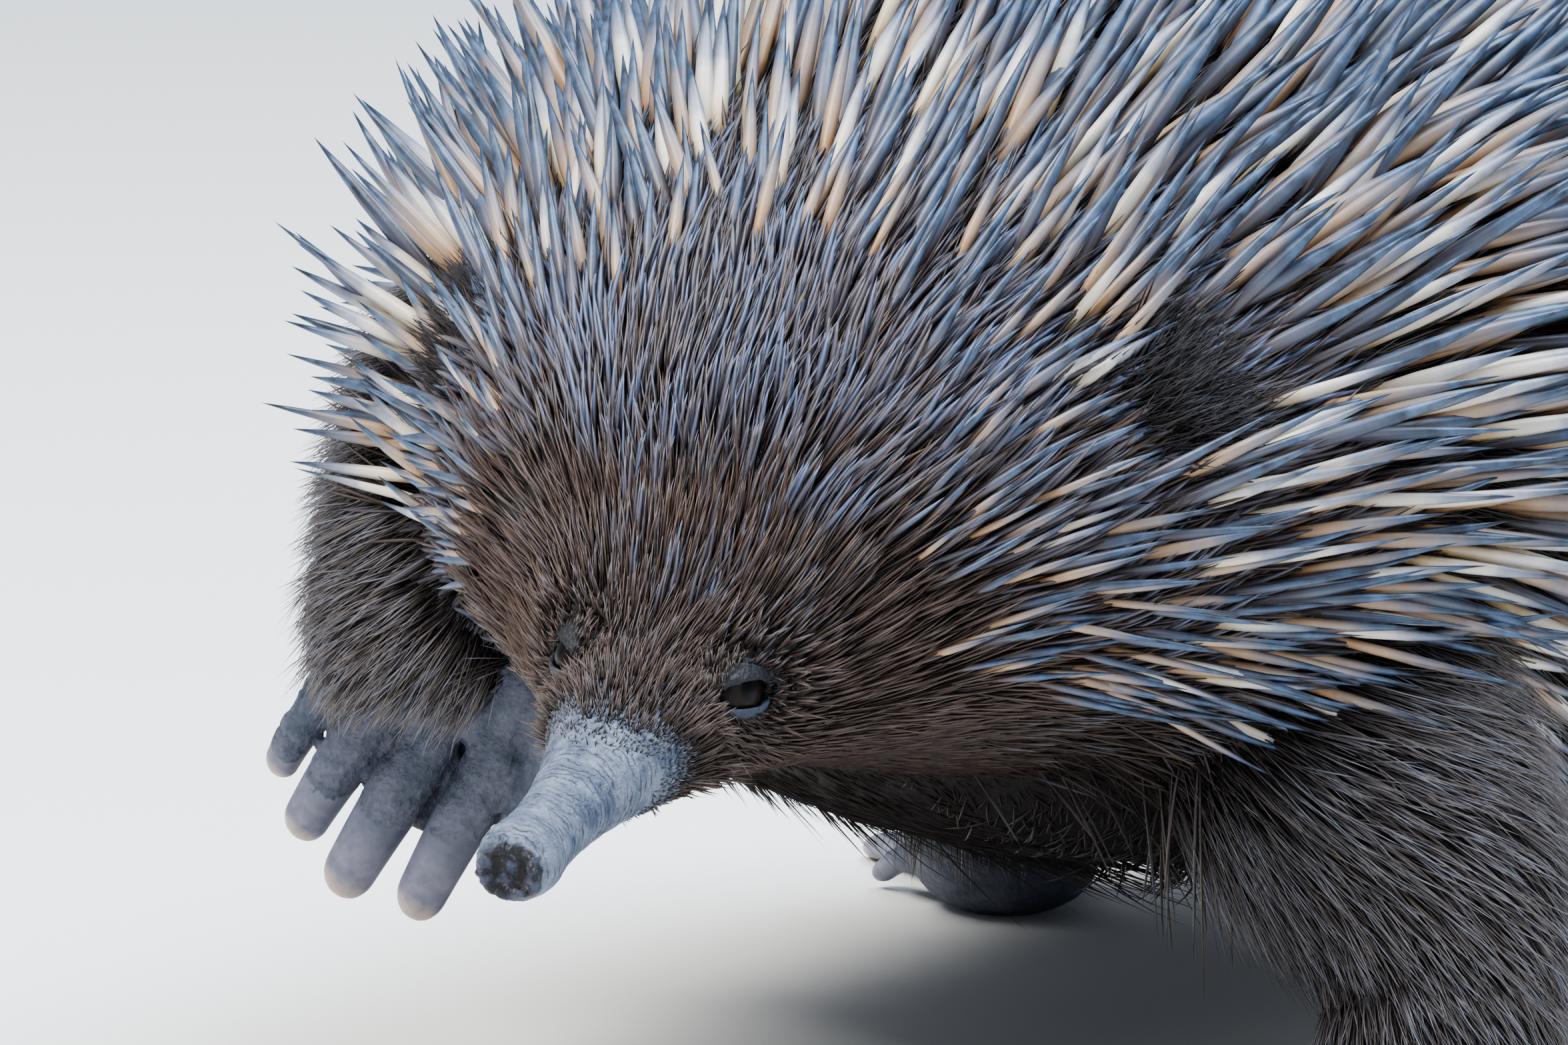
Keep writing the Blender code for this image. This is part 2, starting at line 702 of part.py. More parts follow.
def grow_spines(clear):
    """Spines in staggered rows, as lists of closed pieces for each node."""
    rng = np.random.default_rng(SEED)
    grown = {}
    first = arc_of_y(SPINE_ZONES[0][0])
    last = arc_of_y(SPINE_ZONES[-1][0])
    rows = int((last - first) / SPINE_ROW_STEP)
    for row in range(rows + 1):
        arc = first + row * SPINE_ROW_STEP
        centre, _, _, _, sizes = body_frame(arc)
        length, rise, limit = zone_values(centre.y)
        spacing = min(SPINE_SPACING, 4.0 + 0.35 * sizes[3])
        count = max(1, round(math.radians(limit) * (sizes[3] + sizes[4]) / 2 / spacing))
        for k in range(-count, count + 1):
            degrees = (k + 0.5 * (row % 2)) * limit / count
            if abs(degrees) > limit + 1:
                continue
            spot = arc + rng.uniform(-2.0, 2.0)
            angle = math.radians(degrees + rng.uniform(-2.0, 2.0))
            swing = math.radians(rng.uniform(-7.0, 7.0))
            lift = rise + rng.uniform(-4.0, 4.0)
            size = rng.uniform(0.86, 1.1)
            root, back, around, out = skin_frame(spot, angle)
            node = node_at(root.y)
            if node is None:
                continue
            if in_span(root.y, SHOULDER_Y) and in_span(degrees, SHOULDER_DEGREES):
                lift += SHOULDER_RISE
            low = max(0.0, abs(degrees) - LOW_FLANK_ANGLE) / 40.0
            swing += math.copysign(math.radians(LOW_FLANK_SWING) * low, degrees)
            reach = length * size * (1.0 - LOW_FLANK_SHORTER * low)
            radius = SPINE_RADIUS * (0.72 + 0.28 * reach / 40.0)
            for extra_lift, extra_swing in ESCAPES:
                turn = swing + math.radians(extra_swing)
                up = math.radians(lift + extra_lift)
                along = back * math.cos(turn) + around * math.sin(turn)
                way = along * math.cos(up) + out * math.sin(up)
                if (root + way * reach).z < SPINE_FLOOR:
                    continue
                if clear.claim(node, spine_bm(root, way, reach, radius, CLEARANCE)):
                    spine = object_from("spine", spine_bm(root, way, reach, radius))
                    grown.setdefault(node, []).append(spine)
                    break
    return grown


def grow_lock(clear, grown, node, root, along, out, length, width):
    """One lock, where it stays clear of everything else."""
    up = math.radians(LOCK_RISE)
    way = along * math.cos(up) + out * math.sin(up)
    side = way.cross(out).normalized()
    settle = -out * (length * math.sin(up) * LOCK_SETTLE)
    if (root + way * length + settle).z < LOCK_FLOOR:
        return
    if clear.claim(node, lock_bm(root, way, side, length, width, settle, CLEARANCE)):
        piece = object_from("lock", lock_bm(root, way, side, length, width, settle))
        grown.setdefault(node, []).append(piece)


def grow_body_locks(clear, grown):
    """Bristly locks on the face and cheeks, and a hanging fringe under the spines."""
    rng = np.random.default_rng(SEED + 1)
    spots = []
    for y, count, spread, length, width in FACE_LOCKS:
        for k in range(count):
            spots.append((y, (k / (count - 1) - 0.5) * 2 * spread, length, width, 0.0))
    for side in (1, -1):
        for y, degrees, length, width in CHEEK_LOCKS:
            spots.append((y, side * degrees, length, width, 0.0))
        for y in FRINGE_Y:
            spots.append((y, side * FRINGE_ANGLE, FRINGE_LENGTH, FRINGE_WIDTH, FRINGE_SWING))
    for y, degrees, length, width, turn in spots:
        angle = math.radians(degrees + rng.uniform(-2.5, 2.5))
        root, back, around, out = skin_frame(arc_of_y(y + rng.uniform(-1.5, 1.5)), angle)
        swing = math.copysign(turn, angle) + rng.uniform(-0.15, 0.15)
        along = back * math.cos(swing) + around * math.sin(swing)
        size = rng.uniform(0.88, 1.12)
        node = node_at(root.y)
        if node:
            grow_lock(clear, grown, node, root, along, out, length * size, width * size)


def grow_leg_locks(clear, grown, body):
    """Hair that hangs down each leg to the wrist or ankle."""
    rng = np.random.default_rng(SEED + 2)
    tree = BVHTree.FromObject(body, bpy.context.evaluated_depsgraph_get())
    limbs = (
        ("foreleg_left", FORELEG_LEFT),
        ("foreleg_right", FORELEG_RIGHT),
        ("hindleg_left", HINDLEG_LEFT),
        ("hindleg_right", HINDLEG_RIGHT),
    )
    for name, limb in limbs:
        points = [p[:3] for p in limb]
        widths = [p[3] for p in limb]
        rings = tube(points, widths, LEG_LOCKS_AROUND * 2, LEG_TUBE_STEPS + 1, 1.0, LIMB_UP)
        centres = [sum(ring, Vector()) / len(ring) for ring in rings]
        for row, share in enumerate(LEG_LOCK_SHARES):
            i = round(share * LEG_TUBE_STEPS)
            down = (centres[i + 1] - centres[i - 1]).normalized()
            for k in range(LEG_LOCKS_AROUND):
                root = rings[i][2 * k + row % 2]
                out = (root - centres[i]).normalized()
                near, normal, _, distance = tree.find_nearest(root * MM)
                if distance < LEG_BARE_DISTANCE * MM or (root * MM - near).dot(normal) < 0:
                    continue
                along = (down - out * down.dot(out)).normalized()
                size = rng.uniform(0.88, 1.12)
                length = LEG_LOCK_LENGTH * size
                grow_lock(clear, grown, name, root, along, out, length, LEG_LOCK_WIDTH * size)


def main():
    clear_scene()
    body = object_from("whole_body", loft(body_rings()))
    make_eyes()
    make_beak()
    make_head()
    object_from("neck", body_slice(HEAD_END_Y, NECK_END_Y), SPINES)
    object_from("torso_fore", body_slice(NECK_END_Y, WAIST_Y), SPINES)
    object_from("torso_hind", body_slice(WAIST_Y, TAIL_ROOT_Y), SPINES)
    object_from("tail", body_slice(TAIL_ROOT_Y, None), SPINES)
    make_ears(body)
    make_limbs(body)
    bpy.context.view_layer.update()
    nodes = [obj for obj in bpy.data.objects if obj != body]
    clear = Clearances(nodes)
    grown = grow_spines(clear)
    grow_body_locks(clear, grown)
    grow_leg_locks(clear, grown, body)
    bpy.data.objects.remove(body)
    for name, pieces in grown.items():
        combine(bpy.data.objects[name], "UNION", pieces)


main()
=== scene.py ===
"""A life-size short-beaked echidna in mid step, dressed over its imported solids.

Metres, +Z up. The animal faces -Y, its left side is +X, and it stands on z = 0.
Sizes below are in millimetres until a mesh is made.
"""

import json
import math

import bmesh
import bpy
import numpy as np
from mathutils import Matrix, Vector, noise
from mathutils.bvhtree import BVHTree

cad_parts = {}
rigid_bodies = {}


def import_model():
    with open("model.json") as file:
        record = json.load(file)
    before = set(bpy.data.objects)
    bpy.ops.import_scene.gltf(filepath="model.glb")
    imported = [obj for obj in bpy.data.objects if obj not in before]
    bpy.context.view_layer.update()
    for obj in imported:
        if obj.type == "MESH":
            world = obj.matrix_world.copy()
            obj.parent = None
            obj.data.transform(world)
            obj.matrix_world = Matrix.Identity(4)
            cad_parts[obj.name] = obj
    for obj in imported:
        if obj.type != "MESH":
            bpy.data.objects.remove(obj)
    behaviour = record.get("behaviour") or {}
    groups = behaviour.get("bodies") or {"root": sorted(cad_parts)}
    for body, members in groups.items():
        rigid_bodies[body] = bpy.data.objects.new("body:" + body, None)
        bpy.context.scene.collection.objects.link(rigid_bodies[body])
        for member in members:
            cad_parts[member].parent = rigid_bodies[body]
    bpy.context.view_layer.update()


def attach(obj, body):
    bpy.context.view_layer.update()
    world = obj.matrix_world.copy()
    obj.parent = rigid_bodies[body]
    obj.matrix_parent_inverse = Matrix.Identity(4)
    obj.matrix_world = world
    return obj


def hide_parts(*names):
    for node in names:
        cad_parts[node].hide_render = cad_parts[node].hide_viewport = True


for leftover in list(bpy.data.objects):
    bpy.data.objects.remove(leftover)
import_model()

# Flesh of the trunk
# The trunk is one round-sided form from the beak's tip to the tail's tip, with the same
# stations as its solids, drawn out ring by ring. It ends inside the face, which is made finer.

MM = 0.001
# Centre x, y, z; half width; height above and below the centre; roll to the left in degrees
STATIONS = np.array(
    (
        (5.9, -206.0, 56.6, 3.9, 3.5, 3.4, 10),
        (5.6, -203.0, 57.3, 4.9, 4.4, 4.3, 10),
        (4.9, -196.0, 58.8, 4.7, 4.3, 4.1, 10),
        (3.9, -186.0, 61.0, 5.4, 4.9, 4.6, 10),
        (2.8, -175.0, 63.5, 7.2, 6.4, 5.6, 10),
        (1.8, -165.0, 65.7, 9.6, 8.8, 6.8, 10),
        (0.4, -151.0, 68.8, 14.8, 13.5, 8.5, 10),
        (-0.6, -138.0, 73.0, 24.0, 25.0, 13.5, 8),
        (-1.0, -125.0, 78.0, 35.5, 35.0, 20.0, 5),
        (-0.6, -105.0, 84.0, 51.0, 44.0, 30.0, 2),
        (0.0, -80.0, 89.0, 66.0, 51.0, 39.0, 0),
        (0.0, -45.0, 91.0, 77.0, 59.0, 53.0, 0),
        (0.0, 0.0, 90.5, 83.0, 64.0, 62.0, 0),
        (0.0, 45.0, 89.0, 84.0, 64.0, 62.0, 0),
        (0.0, 90.0, 84.0, 76.0, 58.0, 55.0, 0),
        (0.0, 125.0, 76.0, 60.0, 48.0, 43.0, 0),
        (0.0, 150.0, 66.0, 43.0, 36.0, 31.0, 0),
        (0.0, 167.0, 57.0, 29.0, 26.0, 22.0, 0),
        (0.0, 180.0, 50.0, 18.0, 17.0, 13.5, 0),
        (0.0, 191.0, 44.0, 12.0, 11.0, 9.5, 0),
        (0.0, 199.0, 40.0, 6.5, 6.0, 5.0, 0),
    )
)
SECTION_POWER = 2.15
TRUNK_START_Y = -145.0
TRUNK_SIDES = 72
TRUNK_STEP = 3.5
# The first rings sit this far inside the face
TRUNK_START_SUNK = 0.8
TRUNK_SUNK_RINGS = 3


def arc_lengths(points):
    steps = np.linalg.norm(np.diff(points, axis=0), axis=1)
    return np.concatenate([[0.0], np.cumsum(steps)])


def smooth_rows(keys, rows, at):
    """Rows of numbers read at new keys along a smooth curve through them."""
    slopes = np.gradient(rows, keys, axis=0)
    i = np.clip(np.searchsorted(keys, at) - 1, 0, len(keys) - 2)
    span = (keys[i + 1] - keys[i])[:, None]
    t = ((at - keys[i]) / (keys[i + 1] - keys[i]))[:, None]
    return (
        (2 * t**3 - 3 * t**2 + 1) * rows[i]
        + (t**3 - 2 * t**2 + t) * span * slopes[i]
        + (3 * t**2 - 2 * t**3) * rows[i + 1]
        + (t**3 - t**2) * span * slopes[i + 1]
    )


def unit(vectors):
    return vectors / np.maximum(np.linalg.norm(vectors, axis=-1, keepdims=True), 1e-9)


ARCS = arc_lengths(STATIONS[:, :3])


def arc_of_y(y):
    """Arc length along the body where its centre line has this y."""
    return np.interp(y, STATIONS[:, 1], ARCS)


def body_frames(arc):
    """Centre, backward, left and up directions, and half width, height and depth."""
    here = smooth_rows(ARCS, STATIONS, arc)
    ahead = smooth_rows(ARCS, STATIONS, arc + 1.5)[:, :3]
    behind = smooth_rows(ARCS, STATIONS, arc - 1.5)[:, :3]
    back = unit(ahead - behind)
    left = unit(np.cross(back, (0.0, 0.0, 1.0)))
    up = np.cross(left, back)
    roll = np.radians(here[:, 6:7])
    rolled_left = left * np.cos(roll) - up * np.sin(roll)
    rolled_up = up * np.cos(roll) + left * np.sin(roll)
    return here[:, :3], back, rolled_left, rolled_up, here[:, 3:6]


def body_points(arc, angle):
    """Points of the flesh: angle 0 is the top and grows towards the left side."""
    centre, _, left, up, sizes = body_frames(arc)
    power = 2.0 / SECTION_POWER
    across = np.sign(np.sin(angle)) * np.abs(np.sin(angle)) ** power
    along = np.sign(np.cos(angle)) * np.abs(np.cos(angle)) ** power
    height = np.where(along > 0, sizes[:, 1], sizes[:, 2])
    return centre + left * (across * sizes[:, 0])[:, None] + up * (along * height)[:, None]


def body_ring(arc, sides, sunk=0.0):
    angles = np.linspace(0, math.tau, sides, endpoint=False)
    ring = body_points(np.full(sides, arc), angles)
    centre = ring.mean(axis=0)
    return ring - unit(ring - centre) * sunk


def drawn_out(name, rings):
    """A closed tube by hand: a disc whose face is extruded ring by ring and set in place."""
    bpy.ops.object.select_all(action="DESELECT")
    bpy.ops.mesh.primitive_circle_add(vertices=len(rings[0]), radius=MM, fill_type="NGON")
    obj = bpy.context.object
    obj.name = name
    bpy.ops.object.mode_set(mode="EDIT")
    for number, ring in enumerate(rings):
        if number:
            bpy.ops.mesh.extrude_region_move()
        bm = bmesh.from_edit_mesh(obj.data)
        face = next(f for f in bm.faces if f.select)
        for vert, point in zip(face.verts, ring):
            vert.co = Vector(point) * MM
    bpy.ops.mesh.select_all(action="SELECT")
    bpy.ops.mesh.normals_make_consistent(inside=False)
    bpy.ops.object.mode_set(mode="OBJECT")
    return obj


trunk_arcs = np.arange(arc_of_y(TRUNK_START_Y), ARCS[-1], TRUNK_STEP)
trunk_rings = [
    body_ring(arc, TRUNK_SIDES, TRUNK_START_SUNK if number < TRUNK_SUNK_RINGS else 0.0)
    for number, arc in enumerate(trunk_arcs)
]
trunk_rings.append(body_ring(ARCS[-1], TRUNK_SIDES))
trunk = drawn_out("trunk", trunk_rings)

# Legs
# Four short, thick legs, each a tapering tube from inside the body to inside its foot.
# They are melted into the trunk as one flesh.

# Points down each leg with its half width; the foot begins at the last point but one
LIMBS = {
    "foreleg_left": (
        (46, -55, 66, 22),
        (61, -58, 50, 22),
        (72, -62, 36, 18),
        (76, -66, 23, 14.5),
        (77, -72, 9, 13),
    ),
    "foreleg_right": (
        (-50, -56, 108, 20),
        (-60, -66, 93, 20),
        (-65, -74, 80, 17),
        (-67, -78, 69, 14.5),
        (-68, -80, 58, 12),
    ),
    "hindleg_left": (
        (36, 100, 64, 32),
        (54, 110, 46, 28),
        (64, 118, 30, 20),
        (67, 122, 17, 14.5),
        (68, 124, 7, 12),
    ),
    "hindleg_right": (
        (-36, 88, 64, 32),
        (-54, 96, 46, 28),
        (-63, 102, 30, 20),
        (-65, 105, 17, 14.5),
        (-66, 107, 7, 12),
    ),
}
LIMB_SIDES = 28
LIMB_RINGS = 18
# A leg's tube stops at this share of its way, inside the wrist
LIMB_END_SHARE = 0.9
LIMB_UP = np.array((0.0, 1.0, 0.2))
FLESH_VOXEL = 2.8
FLESH_SMOOTHING = 8


def limb_points(limb, share, angle, swell=0.0):
    """Points round a leg's tube, and its downward and outward directions."""
    rows = np.array(limb, float)
    arcs = arc_lengths(rows[:, :3])
    here = smooth_rows(arcs, rows, share * arcs[-1])
    ahead = smooth_rows(arcs, rows, np.minimum(share * arcs[-1] + 1.0, arcs[-1]))
    behind = smooth_rows(arcs, rows, np.maximum(share * arcs[-1] - 1.0, 0.0))
    down = unit(ahead[:, :3] - behind[:, :3])
    side = unit(np.cross(down, LIMB_UP))
    top = np.cross(side, down)
    out = side * np.cos(angle)[:, None] + top * np.sin(angle)[:, None]
    return here[:, :3] + out * (here[:, 3:4] + swell), down, out


def limb_ring(limb, share, sides, swell=0.0):
    angles = np.linspace(0, math.tau, sides, endpoint=False)
    return limb_points(limb, np.full(sides, share), angles, swell)[0]


def melted(name, pieces, voxel, smoothing):
    """Joins pieces, remeshes them as one closed flesh and smooths it."""
    bpy.ops.object.select_all(action="DESELECT")
    for piece in pieces:
        piece.select_set(True)
    obj = pieces[0]
    bpy.context.view_layer.objects.active = obj
    if len(pieces) > 1:
        bpy.ops.object.join()
    obj.name = name
    remesh = obj.modifiers.new("melt", "REMESH")
    remesh.mode = "VOXEL"
    remesh.voxel_size = voxel * MM
    bpy.ops.object.modifier_apply(modifier=remesh.name)
    soften = obj.modifiers.new("soften", "SMOOTH")
    soften.factor = 0.5
    soften.iterations = smoothing
    bpy.ops.object.modifier_apply(modifier=soften.name)
    return obj


legs = []
for name, limb in LIMBS.items():
    limb_shares = np.linspace(0.0, LIMB_END_SHARE, LIMB_RINGS)
    limb_rings = [limb_ring(limb, share, LIMB_SIDES) for share in limb_shares]
    legs.append(drawn_out(name + "_flesh", limb_rings))
flesh = melted("flesh", [trunk] + legs, FLESH_VOXEL, FLESH_SMOOTHING)

# Beak and face
# Bare, finely wrinkled skin over bone, one surface with the lids and the brow. It is drawn out
# like the trunk, then the lids are raised and the sockets, nostrils and mouth line are cut.

FACE_START = 0.4
FACE_END_Y = -137.0
FACE_SIDES = 88
FACE_STEP = 1.6
# The last rings sit this far inside the trunk
FACE_END_SUNK = 1.5
FACE_SUNK_RINGS = 3
FACE_VOXEL = 0.42
FACE_SMOOTHING = 3
# The tip is a disc with a raised rim, ahead of the first station: how far behind it each ring
# is, and its share of that station's size
TIP_RINGS = ((-0.15, 0.3), (-0.35, 0.66), (-0.95, 0.88), (-0.9, 1.02), (-0.35, 1.12))
# The beak is a little thicker than its solid near the tip: arc length and added radius
TIP_SWELL = ((0.0, 9.0, 20.0), (0.6, 0.4, 0.0))
EYE_Y = -151.0
EYE_RADIUS = 4.5
SOCKET_GAP = 0.15
EYE_SIDE = 9.6
EYE_UP = 6.0
# The way an eye looks: forwards, sideways and up
EYE_LOOK = (0.42, 0.82, 0.38)
# How far the slit's front end is raised, in degrees
EYE_TILT = 18.0
# Half sizes along the slit, across it and outwards
LID_HALF = (6.3, 5.3, 5.25)
EYE_OPENING = (6.1, 1.62, 4.6)
EYE_OPENING_DOWN = 0.6
# Half sizes across the beak, up and along it
NOSTRIL_HALF = (0.6, 2.2, 3.2)
NOSTRIL_SIDE = 1.75
NOSTRIL_UP = 0.9
NOSTRIL_AHEAD = 1.2
MOUTH_HALF = (7.0, 0.42, 7.5)
MOUTH_DOWN = 2.1
MOUTH_BACK = 4.0


def ball(name, centre, half_sizes, axes, segments=32, rings=18):
    """An ellipsoid with its own axes, from a primitive that is then set in place."""
    bpy.ops.object.select_all(action="DESELECT")
    bpy.ops.mesh.primitive_uv_sphere_add(segments=segments, ring_count=rings, radius=1.0)
    obj = bpy.context.object
    obj.name = name
    turn = Matrix([Vector(axis) for axis in axes]).transposed().to_4x4()
    size = Matrix.Diagonal(Vector([half * MM for half in half_sizes])).to_4x4()
    obj.data.transform(Matrix.Translation(Vector(centre) * MM) @ turn @ size)
    obj.data.update()
    return obj


def one_frame(arc):
    centre, back, left, up, sizes = body_frames(np.array([float(arc)]))
    return centre[0], back[0], left[0], up[0], sizes[0]


def eye_place(side):
    """Centre of an eyeball, and the axes along its slit, across it and outwards."""
    centre, back, left, up, _ = one_frame(arc_of_y(EYE_Y))
    forward, sideways, upward = EYE_LOOK
    look = unit(-back * forward + left * sideways * side + up * upward)
    slit = unit(-back - look * np.dot(look, -back))
    tilt = math.radians(EYE_TILT)
    slit = slit * math.cos(tilt) - np.cross(look, slit) * side * math.sin(tilt)
    return centre + left * EYE_SIDE * side + up * EYE_UP, slit, np.cross(look, slit), look


def cut_or_join(obj, operation, others):
    """Applies one Boolean with all the other pieces and removes them."""
    group = bpy.data.collections.new("pieces")
    bpy.context.scene.collection.children.link(group)
    for other in others:
        for holder in list(other.users_collection):
            holder.objects.unlink(other)
        group.objects.link(other)
    boolean = obj.modifiers.new("join", "BOOLEAN")
    boolean.operation = operation
    boolean.operand_type = "COLLECTION"
    boolean.collection = group
    boolean.solver = "MANIFOLD"
    bpy.ops.object.select_all(action="DESELECT")
    bpy.context.view_layer.objects.active = obj
    obj.select_set(True)
    bpy.ops.object.modifier_apply(modifier=boolean.name)
    for other in list(group.objects):
        bpy.data.objects.remove(other)
    bpy.data.collections.remove(group)


tip_centre, tip_back, tip_left, tip_up, _ = one_frame(0.0)
face_rings = []
for behind, share in TIP_RINGS:
    ring = body_ring(0.0, FACE_SIDES)
    face_rings.append(tip_centre + (ring - tip_centre) * share + tip_back * behind)
face_arcs = np.arange(FACE_START, arc_of_y(FACE_END_Y), FACE_STEP)
for arc in face_arcs[:-FACE_SUNK_RINGS]:
    face_rings.append(body_ring(arc, FACE_SIDES, -np.interp(arc, *TIP_SWELL)))
for arc in face_arcs[-FACE_SUNK_RINGS:]:
    face_rings.append(body_ring(arc, FACE_SIDES, FACE_END_SUNK))
face = drawn_out("face", face_rings)
tip_axes = (tip_left, tip_up, tip_back)
lids = []
hollows = []
for side in (1, -1):
    place, slit, across, look = eye_place(side)
    axes = (slit, across, look)
    lids.append(ball("lid", place, LID_HALF, axes))
    hollows.append(ball("socket", place, (EYE_RADIUS + SOCKET_GAP,) * 3, axes, 48, 28))
    opening = place + look * LID_HALF[2] - np.array((0.0, 0.0, EYE_OPENING_DOWN))
    hollows.append(ball("opening", opening, EYE_OPENING, axes, 40, 20))
    nostril = tip_centre + tip_left * NOSTRIL_SIDE * side + tip_up * NOSTRIL_UP
    hollows.append(ball("nostril", nostril - tip_back * NOSTRIL_AHEAD, NOSTRIL_HALF, tip_axes, 20, 12))
mouth = tip_centre - tip_up * MOUTH_DOWN + tip_back * MOUTH_BACK
hollows.append(ball("mouth", mouth, MOUTH_HALF, tip_axes, 40, 12))
cut_or_join(face, "UNION", lids)
cut_or_join(face, "DIFFERENCE", hollows)
face = melted("face", [face], FACE_VOXEL, FACE_SMOOTHING)

# Wrinkles: folds that run round the beak and round each eye, and a lumpy tip
BEAK_END_Y = -160.0
FOLD_DEPTH = 0.42
FOLD_STEP = 1.6
# The folds fade in behind the tip and fade out past the beak's end
TIP_LENGTH = 3.0
FOLDS_PAST_BEAK = 6.0
TIP_LUMPS = 0.45
FINE_LUMPS = 0.05
FINE_LUMPS_SCALE = 2.3
LID_FOLD_DEPTH = 0.32
LID_FOLD_STEP = 1.15
# Distances from the eye's outward axis between which the lids are folded, and how fast the
# folds fade in and out there
LID_FOLDS_FROM, LID_FOLDS_TO = 2.8, 8.5
LID_FADE_IN, LID_FADE_OUT = 1.2, 2.0
LID_OVAL = 1.22


def fold(along, around, seed, step, waviness=0.9):
    """How deep a crease is, from 0 to 1, where folds cross the way along."""
    place = Vector((along / step, around * waviness, seed))
    drift = noise.noise(Vector((along * 0.25, around * 1.3, seed + 7.0)))
    place.x += drift * 1.2
    return max(0.0, 1.0 - abs(noise.noise(place)) * 4.0) ** 2


def eye_rings(points):
    """How far points lie from the nearest eye's outward axis, as an oval, or 99 behind the eye."""
    rings = []
    for side in (1, -1):
        place, slit, across, look = eye_place(side)
        offset = points - place
        ring = np.hypot(offset @ slit / LID_OVAL, offset @ across)
        rings.append(np.where(offset @ look > 0.0, ring, 99.0))
    return np.min(rings, axis=0)


def wrinkle_face(obj):
    """Ripples the lids, sinks folds across the beak and raises lumps on its tip."""
    points = np.array([vert.co for vert in obj.data.vertices]) / MM
    normals = [vert.normal.copy() for vert in obj.data.vertices]
    end = arc_of_y(BEAK_END_Y)
    folds_end = end + FOLDS_PAST_BEAK
    for vert, point, normal, ring in zip(obj.data.vertices, points, normals, eye_rings(points)):
        arc = float(arc_of_y(point[1]))
        if LID_FOLDS_FROM < ring < LID_FOLDS_TO:
            ripple = math.cos(math.tau * (ring + noise.noise(Vector(point) * 0.5)) / LID_FOLD_STEP)
            fade = min(1.0, (ring - LID_FOLDS_FROM) / LID_FADE_IN)
            fade *= min(1.0, (LID_FOLDS_TO - ring) / LID_FADE_OUT)
            vert.co += normal * ripple * LID_FOLD_DEPTH * fade * MM
        if arc > folds_end:
            continue
        centre, _, left, up, _ = one_frame(arc)
        angle = math.atan2(np.dot(point - centre, left), np.dot(point - centre, up))
        fade = min(1.0, max(0.0, (folds_end - arc) / 10.0))
        fade *= min(1.0, max(0.0, (arc - TIP_LENGTH) / 6.0))
        depth = fold(arc, angle, 3.0, FOLD_STEP) * FOLD_DEPTH * fade * (0.35 + 0.65 * arc / end)
        lump = noise.noise(Vector(point)) * TIP_LUMPS * max(0.0, 1.0 - arc / TIP_LENGTH)
        fine = noise.noise(Vector(point) * FINE_LUMPS_SCALE) * FINE_LUMPS
        vert.co += normal * (lump + fine - depth) * MM


wrinkle_face(face)

# Feet
# Broad spade-like feet. A palm, five short thick digits and the wrist are melted together,
# then creased across the digits as the real skin is.

UPWARD = (0.0, 0.0, 1.0)
# Palm centre, the way the digits point, the way the upper side faces, and how far the digits
# lean outwards and splay, as shares of their length
STANCES = {
    "forefoot_left": ((77, -78, 8.2), (0.16, -0.987, 0.0), UPWARD, (0.0, 0.25)),
    "forefoot_right": (
        (-64.6, -82, 58.6),
        (-0.16, -0.1, -0.98),
        (-0.05, -0.98, 0.1),
        (0.46, 0.11),
    ),
    "hindfoot_left": ((71, 130, 7.2), (0.6, 0.8, 0.0), UPWARD, (0.0, 0.25)),
    "hindfoot_right": ((-69, 113, 7.2), (-0.6, 0.8, 0.0), UPWARD, (0.0, 0.25)),
}
# Digits from the inner to the outer side: sideways place, knuckle's forward place, length,
# half width, claw half width, claw length
FORE_TOES = (
    (-17.0, 5, 7, 3.3, 2.9, 9),
    (-9.0, 8, 11, 4.3, 4.0, 15),
    (1.5, 8, 11, 4.5, 4.2, 15),
    (11.2, 7.5, 9, 4.1, 3.7, 11),
    (18.3, 4.5, 8, 3.3, 2.8, 7.0),
)
HIND_TOES = (
    (-11.5, 9, 4, 2.9, 2.2, 8),
    (-5.5, 14, 6, 3.6, 2.9, 30),
    (1.5, 14, 6, 3.4, 2.7, 20),
    (7.5, 12, 5, 3.0, 2.4, 13),
    (12.5, 9, 4, 2.7, 2.2, 9),
)
# Half sizes of a palm: across, along and through it, and the shares of them that each foot has
FORE_PALM = (19.0, 13.0, 9.0)
HIND_PALM = (13.5, 19.0, 8.0)
PALM_SHARES = {"forefoot_right": (0.9, 0.6, 0.5), "forefoot_left": (0.92, 0.66, 0.86)}
HIND_PALM_SHARES = (1.0, 0.9, 1.0)
PALM_BACK = 2.0
# The pad behind the raised foot's digits: how far down them, outwards and behind, half sizes
PAD_PLACE = (8.0, 2.0, 7.4)
PAD_HALF = (15.0, 12.5, 3.6)
TOE_HEIGHT = 6.0
TOE_DROP = 0.8
# A digit starts inside the palm, closer to its middle line than its knuckle is
TOE_ROOT_SPREAD = 0.72
TOE_ROOT_BACK = 11
# It runs on inside its claw
TOE_TIP_AHEAD = 3.5
# How wide it is at its start, knuckle, middle, end and tip: shares of its own half width for
# the first two and of its claw's for the last two
TOE_SHARES = (0.95, 1.03, 1.04, 0.84)
TOE_SIDES = 20
TOE_RINGS = 11
TOE_FLATNESS = 0.86
FOOT_VOXEL = {"forefoot_right": 0.6, "forefoot_left": 0.9}
HIND_FOOT_VOXEL = 1.0
FOOT_SMOOTHING = 4
# The wrist starts at this share of the leg's way, inside the leg, and gets thicker than it
WRIST_SHARE = 0.66
WRIST_SIDES = 24
WRIST_SWELLS = (-2.0, -1.0, 0.4, 0.6, 0.6, 0.3, 0.0)
CREASE_DEPTH = 0.3
CREASE_STEP = 1.9
FOOT_LUMPS = 0.12
FOOT_LUMPS_SCALE = 0.9


